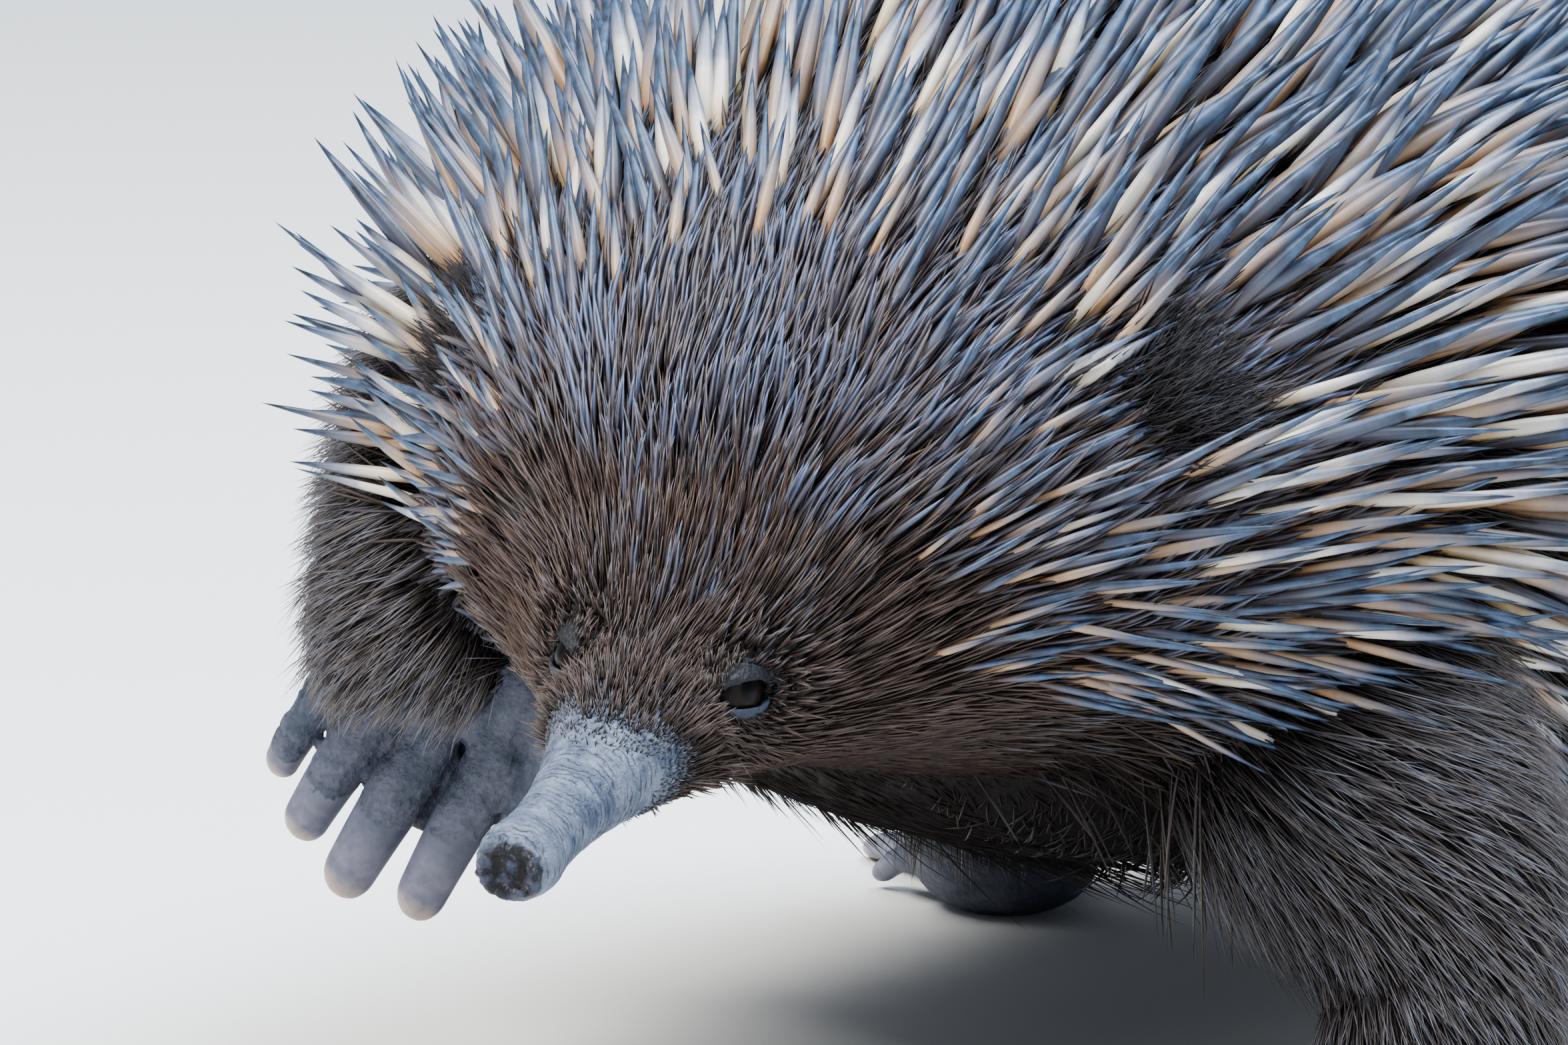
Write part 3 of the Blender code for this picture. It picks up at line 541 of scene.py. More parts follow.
def tube_rings(points, half_widths, sides, steps, flatness, flat_up):
    """Rings of a tapering tube through points, its height a share of its width."""
    points = np.array(points, float)
    arcs = arc_lengths(points)
    at = np.linspace(0, arcs[-1], steps)
    rows = smooth_rows(arcs, np.column_stack([points, half_widths]), at)
    ways = unit(np.gradient(rows[:, :3], axis=0))
    side = unit(np.cross(ways, flat_up))
    top = np.cross(side, ways)
    angles = np.linspace(0, math.tau, sides, endpoint=False)[:, None]
    rings = []
    for i, row in enumerate(rows):
        spread = side[i] * np.cos(angles) + top[i] * np.sin(angles) * flatness
        rings.append(row[:3] + spread * row[3])
    return rings


def foot_axes(name):
    palm, digits, dorsal, lean = STANCES[name]
    digits = unit(np.array(digits))
    dorsal = np.array(dorsal)
    dorsal = unit(dorsal - digits * np.dot(dorsal, digits))
    side = 1 if name.endswith("left") else -1
    outer = np.cross(digits, dorsal) * -side
    return np.array(palm, float), digits, dorsal, outer, lean


def toe_points(name, toe):
    """Start, knuckle and end of a digit, and the way it points."""
    palm, digits, dorsal, outer, lean = foot_axes(name)
    palm_half = FORE_PALM if name.startswith("fore") else HIND_PALM
    sideways, knuckle, length = toe[:3]
    way = unit(digits + outer * (lean[0] + lean[1] * sideways / palm_half[0]))
    start = palm + outer * sideways * TOE_ROOT_SPREAD + digits * (knuckle - TOE_ROOT_BACK)
    middle = palm + outer * sideways + digits * knuckle - dorsal * (palm_half[2] - TOE_HEIGHT - 1.0)
    return start, middle, middle + way * length - dorsal * TOE_DROP, way


def crease_digits(obj, name, toes):
    """Sinks creases across each digit's upper side, and fine lumps all over the foot."""
    dorsal = foot_axes(name)[2]
    runs = [toe_points(name, toe) for toe in toes]
    normals = [vert.normal.copy() for vert in obj.data.vertices]
    for vert, normal in zip(obj.data.vertices, normals):
        point = np.array(vert.co) / MM
        offsets = [np.linalg.norm(np.cross(point - end, way)) for _, _, end, way in runs]
        nearest = int(np.argmin(offsets))
        _, middle, _, way = runs[nearest]
        along = float(np.dot(point - middle, way))
        past_palm = min(1.0, max(0.0, (along + 5.0) / 5.0))
        upper_side = max(0.0, min(1.0, 0.4 + float(normal.dot(dorsal))))
        reach = past_palm * upper_side
        crease = fold(along, offsets[nearest] * 0.25, nearest * 5.0, CREASE_STEP, 0.6)
        fine = noise.noise(Vector(point) * FOOT_LUMPS_SCALE) * FOOT_LUMPS
        vert.co += normal * (fine - crease * CREASE_DEPTH * reach) * MM


feet = []
for name in STANCES:
    kind = name[:4]
    toes = FORE_TOES if kind == "fore" else HIND_TOES
    palm_half = FORE_PALM if kind == "fore" else HIND_PALM
    palm, digits, dorsal, outer, _ = foot_axes(name)
    axes = (outer, digits, dorsal)
    limb = LIMBS[name.replace("foot", "leg")]
    wrist_shares = np.linspace(WRIST_SHARE, 1.0, len(WRIST_SWELLS))
    wrist = [
        limb_ring(limb, share, WRIST_SIDES, swell) for share, swell in zip(wrist_shares, WRIST_SWELLS)
    ]
    shares = PALM_SHARES.get(name, HIND_PALM_SHARES)
    palm_sizes = [half * share for half, share in zip(palm_half, shares)]
    pieces = [drawn_out("wrist", wrist), ball("palm", palm - digits * PALM_BACK, palm_sizes, axes)]
    if name == "forefoot_right":
        pad = palm + digits * PAD_PLACE[0] + outer * PAD_PLACE[1] - dorsal * PAD_PLACE[2]
        pieces.append(ball("pad", pad, PAD_HALF, axes))
    for toe in toes:
        start, middle, end, way = toe_points(name, toe)
        half, claw_half = toe[3:5]
        tip = end + way * TOE_TIP_AHEAD - dorsal * TOE_DROP
        points = (start, middle, (middle + end) / 2, end, tip)
        widths = (
            half * TOE_SHARES[0],
            half * TOE_SHARES[1],
            (half + claw_half) / 2,
            claw_half * TOE_SHARES[2],
            claw_half * TOE_SHARES[3],
        )
        rings = tube_rings(points, widths, TOE_SIDES, TOE_RINGS, TOE_FLATNESS, dorsal)
        pieces.append(drawn_out("digit", rings))
    foot = melted(name + "_flesh", pieces, FOOT_VOXEL.get(name, HIND_FOOT_VOXEL), FOOT_SMOOTHING)
    crease_digits(foot, name, toes)
    feet.append(foot)

# Skin
# One skin over the trunk, legs, feet and face. Under the coat it is dark, and it is bare and
# blue-grey on the beak, lids and feet.

cut_or_join(flesh, "UNION", [face] + feet)
skin = flesh
skin.name = "skin"
for vert in skin.data.vertices:
    vert.co.z = max(vert.co.z, 0.0)
skin.data.update()
bpy.ops.object.select_all(action="DESELECT")
skin.select_set(True)
bpy.context.view_layer.objects.active = skin
bpy.ops.object.shade_smooth()

BEAK_GREY = (0.185, 0.208, 0.270)
BEAK_PATCH = (0.080, 0.102, 0.150)
# Painted shade: the darker colour laid into the beak's creases
BEAK_CREASE_SHADE = (0.040, 0.048, 0.070)
TIP_DARK = (0.010, 0.010, 0.014)
TIP_GREY = (0.050, 0.062, 0.090)
TIP_FLECK = (0.15, 0.12, 0.12)
FOOT_BLUE = (0.050, 0.062, 0.090)
FOOT_LILAC = (0.104, 0.109, 0.146)
UNDER_COAT = (0.014, 0.010, 0.0085)
LID_DARK = (0.008, 0.0075, 0.009)
LID_BLUE = (0.012, 0.014, 0.021)
# Painted highlight: a pale blue crescent on the lower lid, where its wet rim catches the light
LID_PALE_HIGHLIGHT = (0.034, 0.044, 0.066)
# Painted shade: near-black colour over the nostril openings, where the holes lie in shadow
NOSTRIL_SHADE = (0.004, 0.003, 0.003)
# Where the beak's colour gives way to the coat's, along y
BEAK_COLOUR_END = (-167.0, -160.5)
# Skin nearer a palm than this may belong to the foot
FOOT_REACH = 42.0


def float_attribute(obj, name, values):
    attribute = obj.data.attributes.new(name, "FLOAT", "POINT")
    attribute.data.foreach_set("value", np.asarray(values, np.float32))


def step_between(low, high, values):
    t = np.clip((values - low) / (high - low), 0.0, 1.0)
    return t * t * (3 - 2 * t)


skin_points = np.array([vert.co for vert in skin.data.vertices]) / MM
skin_arcs = arc_of_y(skin_points[:, 1])
skin_centres, _, skin_lefts, skin_ups, _ = body_frames(skin_arcs)
skin_offsets = skin_points - skin_centres
skin_left = np.sum(skin_offsets * skin_lefts, axis=1)
skin_angles = np.arctan2(skin_left, np.sum(skin_offsets * skin_ups, axis=1))
beak_share = 1.0 - step_between(*BEAK_COLOUR_END, skin_points[:, 1])
tip_depth = (skin_points - tip_centre) @ tip_back
tip_share = 1.0 - step_between(-0.2, 0.5, tip_depth)
# Painted shade: an oval round each nostril opening on the tip
nostril_shade = np.zeros(len(skin_points))
for side in (1, -1):
    offset = skin_points - (tip_centre + tip_left * NOSTRIL_SIDE * side + tip_up * NOSTRIL_UP)
    oval = np.hypot(offset @ tip_left / 0.7, offset @ tip_up / 2.3)
    nostril_shade = np.maximum(nostril_shade, (tip_depth < 4.0) * (1.0 - step_between(0.8, 1.2, oval)))
foot_share = np.zeros(len(skin_points))
for name in STANCES:
    palm = foot_axes(name)[0]
    wrist, limb_end = np.array(LIMBS[name.replace("foot", "leg")], float)[-2:, :3]
    past_wrist = (skin_points - wrist) @ unit(limb_end - wrist)
    near = np.linalg.norm(skin_points - palm, axis=1) < FOOT_REACH
    foot_share = np.maximum(foot_share, near * step_between(-2.0, 3.0, past_wrist))
lid_share = np.zeros(len(skin_points))
# Painted highlight: a band on each lower lid, below the eye
lower_lid = np.zeros(len(skin_points))
for side in (1, -1):
    place, slit, across, look = eye_place(side)
    offset = skin_points - place
    ring = np.hypot(offset @ slit / 1.35, offset @ across)
    in_front = offset @ look > 0.5
    lid_share = np.maximum(lid_share, in_front * (1.0 - step_between(3.8, 5.4, ring)))
    below = step_between(0.2, 1.5, -offset[:, 2])
    lower_lid = np.maximum(lower_lid, in_front * below * (1.0 - step_between(3.3, 4.0, ring)))
skin_fields = {
    "beak": beak_share,
    "tip": tip_share,
    "nostril": nostril_shade,
    "run": skin_arcs,
    "across": np.sin(skin_angles),
    "above": np.cos(skin_angles),
    "foot": foot_share,
    "lid": lid_share,
    "lower_lid": lower_lid,
}
for name, values in skin_fields.items():
    float_attribute(skin, name, values)


class Finish:
    """Builds one material node by node."""

    def __init__(self, name, roughness, specular=0.5):
        self.material = bpy.data.materials.new(name)
        self.material.use_nodes = True
        self.nodes = self.material.node_tree.nodes
        self.links = self.material.node_tree.links
        self.shader = self.nodes["Principled BSDF"]
        self.shader.inputs["Roughness"].default_value = roughness
        self.shader.inputs["Specular IOR Level"].default_value = specular

    def put(self, source, socket):
        if hasattr(source, "links"):
            self.links.new(source, socket)
        elif hasattr(source, "__len__"):
            socket.default_value = (*source, 1.0)
        else:
            socket.default_value = source

    def attribute(self, name):
        node = self.nodes.new("ShaderNodeAttribute")
        node.attribute_name = name
        return node.outputs["Fac"]

    def grain(self, scale, detail=3.0, roughness=0.55):
        """Noise on the object's own coordinates, in millimetres times scale."""
        place = self.nodes.new("ShaderNodeTexCoord")
        node = self.nodes.new("ShaderNodeTexNoise")
        node.inputs["Scale"].default_value = scale / MM
        node.inputs["Detail"].default_value = detail
        node.inputs["Roughness"].default_value = roughness
        self.links.new(place.outputs["Object"], node.inputs["Vector"])
        return node.outputs["Fac"]

    def folds(self, scale, waviness):
        """Noise that is stretched round the body, so that its creases cross the way along."""
        place = self.nodes.new("ShaderNodeCombineXYZ")
        self.put(self.maths("MULTIPLY", self.attribute("run"), scale), place.inputs[0])
        self.put(self.maths("MULTIPLY", self.attribute("across"), waviness), place.inputs[1])
        self.put(self.maths("MULTIPLY", self.attribute("above"), waviness), place.inputs[2])
        node = self.nodes.new("ShaderNodeTexNoise")
        node.inputs["Scale"].default_value = 1.0
        node.inputs["Detail"].default_value = 3.0
        node.inputs["Roughness"].default_value = 0.6
        self.links.new(place.outputs[0], node.inputs["Vector"])
        return node.outputs["Fac"]

    def ramp(self, source, stops):
        node = self.nodes.new("ShaderNodeValToRGB")
        elements = node.color_ramp.elements
        while len(elements) < len(stops):
            elements.new(0.5)
        for element, (place, colour) in zip(elements, stops):
            element.position = place
            element.color = (*(colour if hasattr(colour, "__len__") else (colour,) * 3), 1.0)
        self.links.new(source, node.inputs["Fac"])
        return node.outputs["Color"]

    def mix(self, share, first, second, blend="MIX"):
        """A mix of two colours, which are the node's sockets 6 and 7, with its result at 2."""
        node = self.nodes.new("ShaderNodeMix")
        node.data_type = "RGBA"
        node.blend_type = blend
        self.put(share, node.inputs["Factor"])
        self.put(first, node.inputs[6])
        self.put(second, node.inputs[7])
        return node.outputs[2]

    def maths(self, operation, first, second):
        node = self.nodes.new("ShaderNodeMath")
        node.operation = operation
        self.put(first, node.inputs[0])
        self.put(second, node.inputs[1])
        return node.outputs[0]

    def bump(self, height, strength, distance):
        node = self.nodes.new("ShaderNodeBump")
        node.inputs["Strength"].default_value = strength
        node.inputs["Distance"].default_value = distance * MM
        self.links.new(height, node.inputs["Height"])
        self.links.new(node.outputs["Normal"], self.shader.inputs["Normal"])

    def colour(self, source):
        self.put(source, self.shader.inputs["Base Color"])


def skin_finish():
    finish = Finish("bare_skin_wrinkled", 0.55, 0.4)
    patches = finish.ramp(finish.grain(0.2, 5.0, roughness=0.65), ((0.40, 0.0), (0.58, 1.0)))
    fine = finish.grain(1.1, 4.0)
    drift = finish.maths("MULTIPLY", finish.folds(0.28, 1.3), 9.0)
    phase = finish.maths("ADD", finish.maths("MULTIPLY", finish.attribute("run"), 2.5), drift)
    waves = finish.maths("ABSOLUTE", finish.maths("SINE", phase, 0.0), 0.0)
    cracks = finish.ramp(waves, ((0.0, 0.0), (0.5, 0.7), (1.0, 1.0)))
    smooth_areas = finish.ramp(finish.grain(0.28, 2.0), ((0.45, 0.0), (0.62, 1.0)))
    cracks = finish.mix(smooth_areas, cracks, (0.9, 0.9, 0.9))
    beak = finish.mix(patches, BEAK_PATCH, BEAK_GREY)
    beak = finish.mix(0.5, beak, finish.ramp(fine, ((0.3, 0.45), (0.65, 1.0))), "MULTIPLY")
    # Painted shade: the beak's colour is darkened along its creases
    beak = finish.mix(finish.ramp(cracks, ((0.0, 0.42), (0.7, 0.0))), beak, BEAK_CREASE_SHADE)
    lumps = finish.ramp(finish.grain(0.5, 3.0), ((0.44, 0.0), (0.62, 1.0)))
    flecks = finish.ramp(finish.grain(1.1, 2.0), ((0.60, 0.0), (0.70, 0.8)))
    tip = finish.mix(flecks, finish.mix(lumps, TIP_DARK, TIP_GREY), TIP_FLECK)
    beak = finish.mix(finish.attribute("tip"), beak, tip)
    # Painted shade over the nostril openings
    beak = finish.mix(finish.attribute("nostril"), beak, NOSTRIL_SHADE)
    foot = finish.mix(patches, FOOT_BLUE, FOOT_LILAC)
    foot = finish.mix(0.5, foot, finish.ramp(fine, ((0.3, 0.35), (0.65, 1.0))), "MULTIPLY")
    lid = finish.mix(finish.ramp(fine, ((0.42, 0.0), (0.62, 1.0))), LID_DARK, LID_BLUE)
    colour = finish.mix(finish.attribute("foot"), UNDER_COAT, foot)
    colour = finish.mix(finish.attribute("beak"), colour, beak)
    colour = finish.mix(finish.attribute("lid"), colour, lid)
    # Painted highlight on the lower lids
    colour = finish.mix(finish.attribute("lower_lid"), colour, LID_PALE_HIGHLIGHT)
    finish.colour(colour)
    cracks = finish.mix(0.3, cracks, finish.ramp(finish.grain(1.9, 5.0), ((0.3, 0.0), (0.7, 1.0))))
    relief = finish.mix(finish.attribute("beak"), finish.ramp(fine, ((0.0, 0.0), (1.0, 1.0))), cracks)
    finish.bump(relief, 1.0, 0.55)
    return finish.material


skin.data.materials.clear()
skin.data.materials.append(skin_finish())
FLESH_NODES = ["beak", "head", "neck", "torso_fore", "torso_hind", "tail", *LIMBS, *STANCES]
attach(skin, "root")
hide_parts(*FLESH_NODES)

# Eyes
# Small, dark, wet eyes, each a clear-fronted ball set deep behind its lids. The iris is dark
# brown round a black pupil.

IRIS_BROWN = (0.016, 0.009, 0.007)
IRIS_DARK = (0.008, 0.005, 0.004)
EYE_BLACK = (0.003, 0.0025, 0.003)
EYE_RIM = (0.012, 0.010, 0.010)
# Where the pupil and the iris end, in radians from the outward axis
PUPIL_END = (0.3, 0.36)
IRIS_END = (0.62, 0.74)


def eye_finish():
    finish = Finish("eye_wet_dark", 0.34, 0.12)
    finish.shader.inputs["Coat Weight"].default_value = 0.04
    finish.shader.inputs["Coat Roughness"].default_value = 0.05
    streaks = finish.grain(1.4, 3.0)
    iris = finish.mix(streaks, IRIS_BROWN, IRIS_DARK)
    past_pupil = finish.ramp(finish.attribute("radial"), tuple(zip(PUPIL_END, (0.0, 1.0))))
    past_iris = finish.ramp(finish.attribute("radial"), tuple(zip(IRIS_END, (0.0, 1.0))))
    colour = finish.mix(past_pupil, EYE_BLACK, iris)
    finish.colour(finish.mix(past_iris, colour, EYE_RIM))
    return finish.material


eye_material = eye_finish()
for side, name in ((1, "left"), (-1, "right")):
    place, slit, across, look = eye_place(side)
    eye = ball("eyeball_" + name, place, (EYE_RADIUS,) * 3, (slit, across, look), 48, 32)
    points = np.array([vert.co for vert in eye.data.vertices]) / MM - place
    facing = np.clip(points @ look / EYE_RADIUS, -1.0, 1.0)
    float_attribute(eye, "radial", np.arccos(facing))
    bpy.ops.object.shade_smooth()
    eye.data.materials.append(eye_material)
    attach(eye, "root")
    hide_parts("eye_" + name)

# Claws
# Twenty blunt digging claws of grey horn, broad and slightly flattened, worn pale and rounded
# at their ends. Each grows out of its digit.

CLAW_SIDES = 24
CLAW_RINGS = 30
CLAW_FLATNESS = 0.8
CLAW_DROOP = 4.2
# How deep it is rooted in its digit, how much shorter it is than its solid, how much narrower
# it gets, and the shares of its length where its end starts to round off and over which
CLAW_ROOT = 2.2
CLAW_SHORTER = 0.3
CLAW_TAPER = 0.18
CLAW_ROUND_FROM, CLAW_ROUND_OVER = 0.74, 0.262
CLAW_STATIONS = 25
HORN_LILAC = (0.100, 0.101, 0.138)
HORN_SCRAPED = (0.160, 0.160, 0.202)
HORN_PALE = (0.43, 0.32, 0.27)


def claw_finish():
    finish = Finish("claw_horn_worn", 0.42, 0.45)
    scratches = finish.grain(0.55, 5.0)
    patches = finish.ramp(finish.grain(0.16, 4.0), ((0.36, 0.0), (0.62, 1.0)))
    horn = finish.mix(finish.ramp(scratches, ((0.35, 0.0), (0.7, 1.0))), HORN_LILAC, HORN_SCRAPED)
    bed = finish.mix(patches, FOOT_BLUE, FOOT_LILAC)
    horn = finish.mix(finish.ramp(finish.attribute("along"), ((0.0, 0.0), (0.55, 1.0))), bed, horn)
    worn = finish.ramp(finish.attribute("along"), ((0.74, 0.0), (0.95, 1.0)))
    worn = finish.maths("MULTIPLY", worn, finish.ramp(scratches, ((0.25, 0.6), (0.6, 1.0))))
    finish.colour(finish.mix(worn, horn, HORN_PALE))
    finish.bump(finish.grain(1.2, 4.0), 0.35, 0.2)
    return finish.material


claw_material = claw_finish()
for foot_name in STANCES:
    dorsal = foot_axes(foot_name)[2]
    toes = FORE_TOES if foot_name.startswith("fore") else HIND_TOES
    for number, toe in enumerate(toes, 1):
        _, middle, end, way = toe_points(foot_name, toe)
        cap_way = unit(way * 1.5 + unit(end - middle))
        half, length = toe[4] * TOE_SHARES[2], toe[5] - CLAW_SHORTER
        droop = min(TOE_HEIGHT - CLAW_FLATNESS * half - 1.0, CLAW_DROOP)
        shares = np.linspace(0.0, 1.0, CLAW_STATIONS)
        root = end - cap_way * CLAW_ROOT
        run = cap_way * (length + CLAW_ROOT)
        points = [root + run * t - dorsal * droop * t**1.6 for t in shares]
        rounding = np.clip((shares - CLAW_ROUND_FROM) / CLAW_ROUND_OVER, 0.0, 1.0) ** 2.2
        widths = half * (1.0 - CLAW_TAPER * shares) * np.sqrt(np.clip(1.0 - rounding, 0.0, 1.0))
        rings = tube_rings(points, widths, CLAW_SIDES, CLAW_RINGS, CLAW_FLATNESS, dorsal)
        cad_name = f"claw_{foot_name.replace('foot', '')}_{number}"
        claw = drawn_out(cad_name.replace("claw", "horn"), rings)
        points = np.array([vert.co for vert in claw.data.vertices]) / MM
        float_attribute(claw, "along", np.clip((points - end) @ cap_way / length, 0.0, 1.0))
        bpy.ops.object.shade_smooth()
        claw.data.materials.append(claw_material)
        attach(claw, "root")
        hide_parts(cad_name)

# Coat, and how it grows
# Every hair, bristle and spine is a slender solid rooted in the skin. Each one has its own
# small patch in the map OFBake, at its root's place on an unrolled skin.

# Size of one hair's patch, as a share of the map, and the map's margin round all the patches
PATCH = 0.003
PATCH_MARGIN = 0.02
# A root is dropped from this high over the plain body, and left out if it lands too high on
# the skin
SEAT_HEIGHT = 8.0
SEAT_TOO_HIGH = 3.0
skin_tree = BVHTree.FromObject(skin, bpy.context.evaluated_depsgraph_get())


def seated(points, out, reach=2.2):
    """Points dropped on to the skin from outside, its normals there, and which are close enough."""
    places = points.copy()
    normals = out.copy()
    close = np.zeros(len(points), bool)
    for i, (point, way) in enumerate(zip(points, out)):
        start = Vector(point + way * SEAT_HEIGHT) * MM
        hit, normal, _, distance = skin_tree.ray_cast(start, Vector(-way), (SEAT_HEIGHT + reach) * MM)
        if hit is not None and distance > (SEAT_HEIGHT - SEAT_TOO_HIGH) * MM:
            places[i] = hit / MM
            normals[i] = normal
            close[i] = True
    return places, normals, close


def body_lie(arc, angle):
    """Backward, round and outward directions on the body's surface."""
    back = unit(body_points(arc + 1.0, angle) - body_points(arc - 1.0, angle))
    around = body_points(arc, angle + 0.03) - body_points(arc, angle - 0.03)
    around = unit(around - back * np.sum(around * back, axis=1, keepdims=True))
    return back, around, np.cross(around, back)


def scattered(rng, count, start_y, end_y):
    """Arc lengths and angles spread evenly over a stretch of the body's surface."""
    arcs = rng.uniform(arc_of_y(start_y), arc_of_y(end_y), count * 3)
    girth = smooth_rows(ARCS, STATIONS, arcs)[:, 3]
    keep = rng.random(count * 3) < girth / girth.max()
    arcs = arcs[keep][:count]
    return arcs, rng.uniform(-math.pi, math.pi, len(arcs))


def strand_mesh(
    name, root, way, lift, length, width, bend, tone, patch, stations, sides=3, flat=0.5, sunk=0.8
):
    """Joined tapered strands. Each bends from its way by the vector bend, as the square of
    the share along it. Stations are shares of its length with shares of its width there."""
    count = len(root)
    side = unit(np.cross(way, lift))
    over = np.cross(side, way)
    angles = np.linspace(0, math.tau, sides, endpoint=False) + (math.pi / 2 if sides == 3 else 0.0)
    rings = len(stations)
    verts = np.empty((count, rings * sides + 1, 3))
    along = np.empty((count, rings * sides + 1))
    uv = np.empty((count, rings * sides + 1, 2))
    for i, (share, thick) in enumerate(stations):
        reach = length * share if i else np.full(count, -sunk)
        centre = root + way * reach[:, None] + bend * share**2
        for k, angle in enumerate(angles):
            spread = side * math.cos(angle) + over * math.sin(angle) * flat
            verts[:, i * sides + k] = centre + spread * (width * thick / 2)[:, None]
            uv[:, i * sides + k] = patch + PATCH * np.array((k / sides - 0.5, share - 0.5))
        along[:, i * sides : (i + 1) * sides] = share
    verts[:, -1] = root + way * length[:, None] + bend
    along[:, -1] = 1.0
    uv[:, -1] = patch + PATCH * np.array((0.0, 0.5))
    faces = []
    for i in range(rings - 1):
        for k in range(sides):
            a, b = i * sides + k, i * sides + (k + 1) % sides
            faces += [(a, b, b + sides), (a, b + sides, a + sides)]
    last = (rings - 1) * sides
    faces += [(last + k, last + (k + 1) % sides, rings * sides) for k in range(sides)]
    faces += [(0, k + 1, k) for k in range(1, sides - 1)]
    faces = np.array(faces)
    corners = (faces[None] + (np.arange(count) * (rings * sides + 1))[:, None, None]).reshape(-1)
    mesh = bpy.data.meshes.new(name)
    mesh.vertices.add(count * (rings * sides + 1))
    mesh.vertices.foreach_set("co", (verts * MM).astype(np.float32).ravel())
    mesh.loops.add(len(corners))
    mesh.loops.foreach_set("vertex_index", corners.astype(np.int32))
    mesh.polygons.add(len(corners) // 3)
    mesh.polygons.foreach_set("loop_start", np.arange(0, len(corners), 3, dtype=np.int32))
    layer = mesh.uv_layers.new(name="OFBake")
    layer.data.foreach_set("uv", uv.reshape(-1, 2)[corners].astype(np.float32).ravel())
    mesh.update(calc_edges=True)
    mesh.shade_smooth()
    obj = bpy.data.objects.new(name, mesh)
    bpy.context.scene.collection.objects.link(obj)
    float_attribute(obj, "along", along.ravel())
    float_attribute(obj, "tone", np.repeat(tone, rings * sides + 1))
    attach(obj, "root")
    return obj


def unrolled(share, angle):
    """Places in the map: along the body or a leg, as a share of its length, and round it."""
    inside = 1.0 - 2.0 * PATCH_MARGIN
    return np.column_stack([PATCH_MARGIN + inside * share, 0.5 + inside * angle / math.tau])


def tilted(back, around, normal, rise, swing):
    """A way out of the skin, raised off it and swung to one side, in degrees."""
    swing, rise = np.radians(swing)[:, None], np.radians(rise)[:, None]
    flat = back * np.cos(swing) + around * np.sin(swing)
    flat = unit(flat - normal * np.sum(flat * normal, axis=1, keepdims=True))
    return flat * np.cos(rise) + normal * np.sin(rise)


def tufted(root, cell, pull, rng):
    """Shifts that draw the tips in each cell together, so that hair falls in tufts."""
    keys = np.floor(root / cell + rng.uniform(0, 1, 3)).astype(int)
    _, index = np.unique(keys, axis=0, return_inverse=True)
    index = index.ravel()
    counts = np.bincount(index)[:, None]
    centres = np.column_stack([np.bincount(index, root[:, k]) for k in range(3)]) / counts
    return (centres[index] - root) * pull


def swirl(points, size, degrees):
    """Slow turns of the lie, in degrees, so that neighbouring hairs lean together."""
    return np.array([noise.noise(Vector(point / size)) for point in points]) * degrees


# Down a hair: share of its length, and share of its width there
HAIR_STATIONS = ((0.0, 0.8), (0.3, 1.0), (0.68, 0.72))

# Face hair
# Short, stiff, close-lying bristles, dark brown with paler worn tips. They start as a bristly
# fringe at the beak, part round the eyes, and grow longer towards the crown and cheeks.

# Name, first and last y, number of hairs
FACE_COATS = (("face_hair", -173.0, -138.0, 12000), ("cheek_hair", -138.0, -84.0, 9800))
# The y where hair starts, by how far round the body it is in degrees
HAIRLINE = ((0, -172.0), (25, -171.5), (50, -167.5), (75, -163.5), (100, -165.0), (180, -168.0))
# How near an eye hair starts, how short it is there, and where it parts round the eye
EYE_CLEAR = 3.5
EYE_SHORTER = ((EYE_CLEAR, 5.0, 12.0), (0.15, 0.32, 1.0))
EYE_PARTING = (5.0, 11.0)
# Along the head: y, length, width
FACE_HAIR_SIZES = np.array(
    (
        (-172, 3.8, 0.26),
        (-165, 6.5, 0.30),
        (-155, 9.0, 0.38),
        (-140, 12.0, 0.52),
        (-120, 14.5, 0.76),
        (-88, 18.0, 0.85),
    )
)
# Along the head: y, and the share of the scattered hairs that are kept
FACE_HAIR_KEPT = ((-162.0, -140.0, -138.0, -84.0), (1.0, 0.6, 1.0, 0.65))
# Under the jaw, from this far round in degrees, hair is shorter and lies flatter
JAW_ANGLES = (98.0, 130.0)
HAIR_ROOT = (0.011, 0.007, 0.006)
HAIR_MIDDLE = (0.043, 0.027, 0.022)
HAIR_TAN = (0.225, 0.155, 0.115)
HAIR_GREY = (0.115, 0.108, 0.125)
# Painted sheen: blue tips for the glints of sky light on the cheek hair
HAIR_SHEEN_BLUE = (0.120, 0.132, 0.190)


class Roots:
    """Roots seated on the body, and the way the coat lies at each."""

    def __init__(self, arcs, angles, reach=2.2):
        self.arc, self.angle = arcs, angles
        self.back, self.around, out = body_lie(arcs, angles)
        self.place, self.normal, close = seated(body_points(arcs, angles), out, reach)
        self.keep(close)

    def keep(self, mask):
        for name, field in list(vars(self).items()):
            setattr(self, name, field[mask])

    def keep_first(self, count):
        self.keep(np.arange(len(self.arc)) < count)

    def read(self, table, column):
        """A column of a table whose first column is y, read at each root."""
        return np.interp(self.place[:, 1], table[:, 0], table[:, column])

    def round_degrees(self):
        return np.abs(np.degrees(self.angle))

    def ways(self, rng, rise, rise_spread, swing, swing_spread):
        """A way for each hair: its rise off the skin and its swing round the body, in degrees."""
        count = len(self.arc)
        rises = rise + rng.normal(0.0, 1.0, count) * rise_spread
        swings = swing + rng.normal(0.0, swing_spread, count)
        return tilted(self.back, self.around, self.normal, rises, swings)

    def sag(self, length, share):
        """A bend towards the skin by a share of each hair's length."""
        return -self.normal * (length * share)[:, None]

    def strands(self, name, material, slot, way, length, width, bend, tone, stations, **shape):
        fields = (self.place, way, self.normal, length, width, bend, tone)
        patch = unrolled(self.arc / ARCS[-1], self.angle)
        obj = strand_mesh(name, *fields, patch, stations, **shape)
        obj.data.materials.append(material)


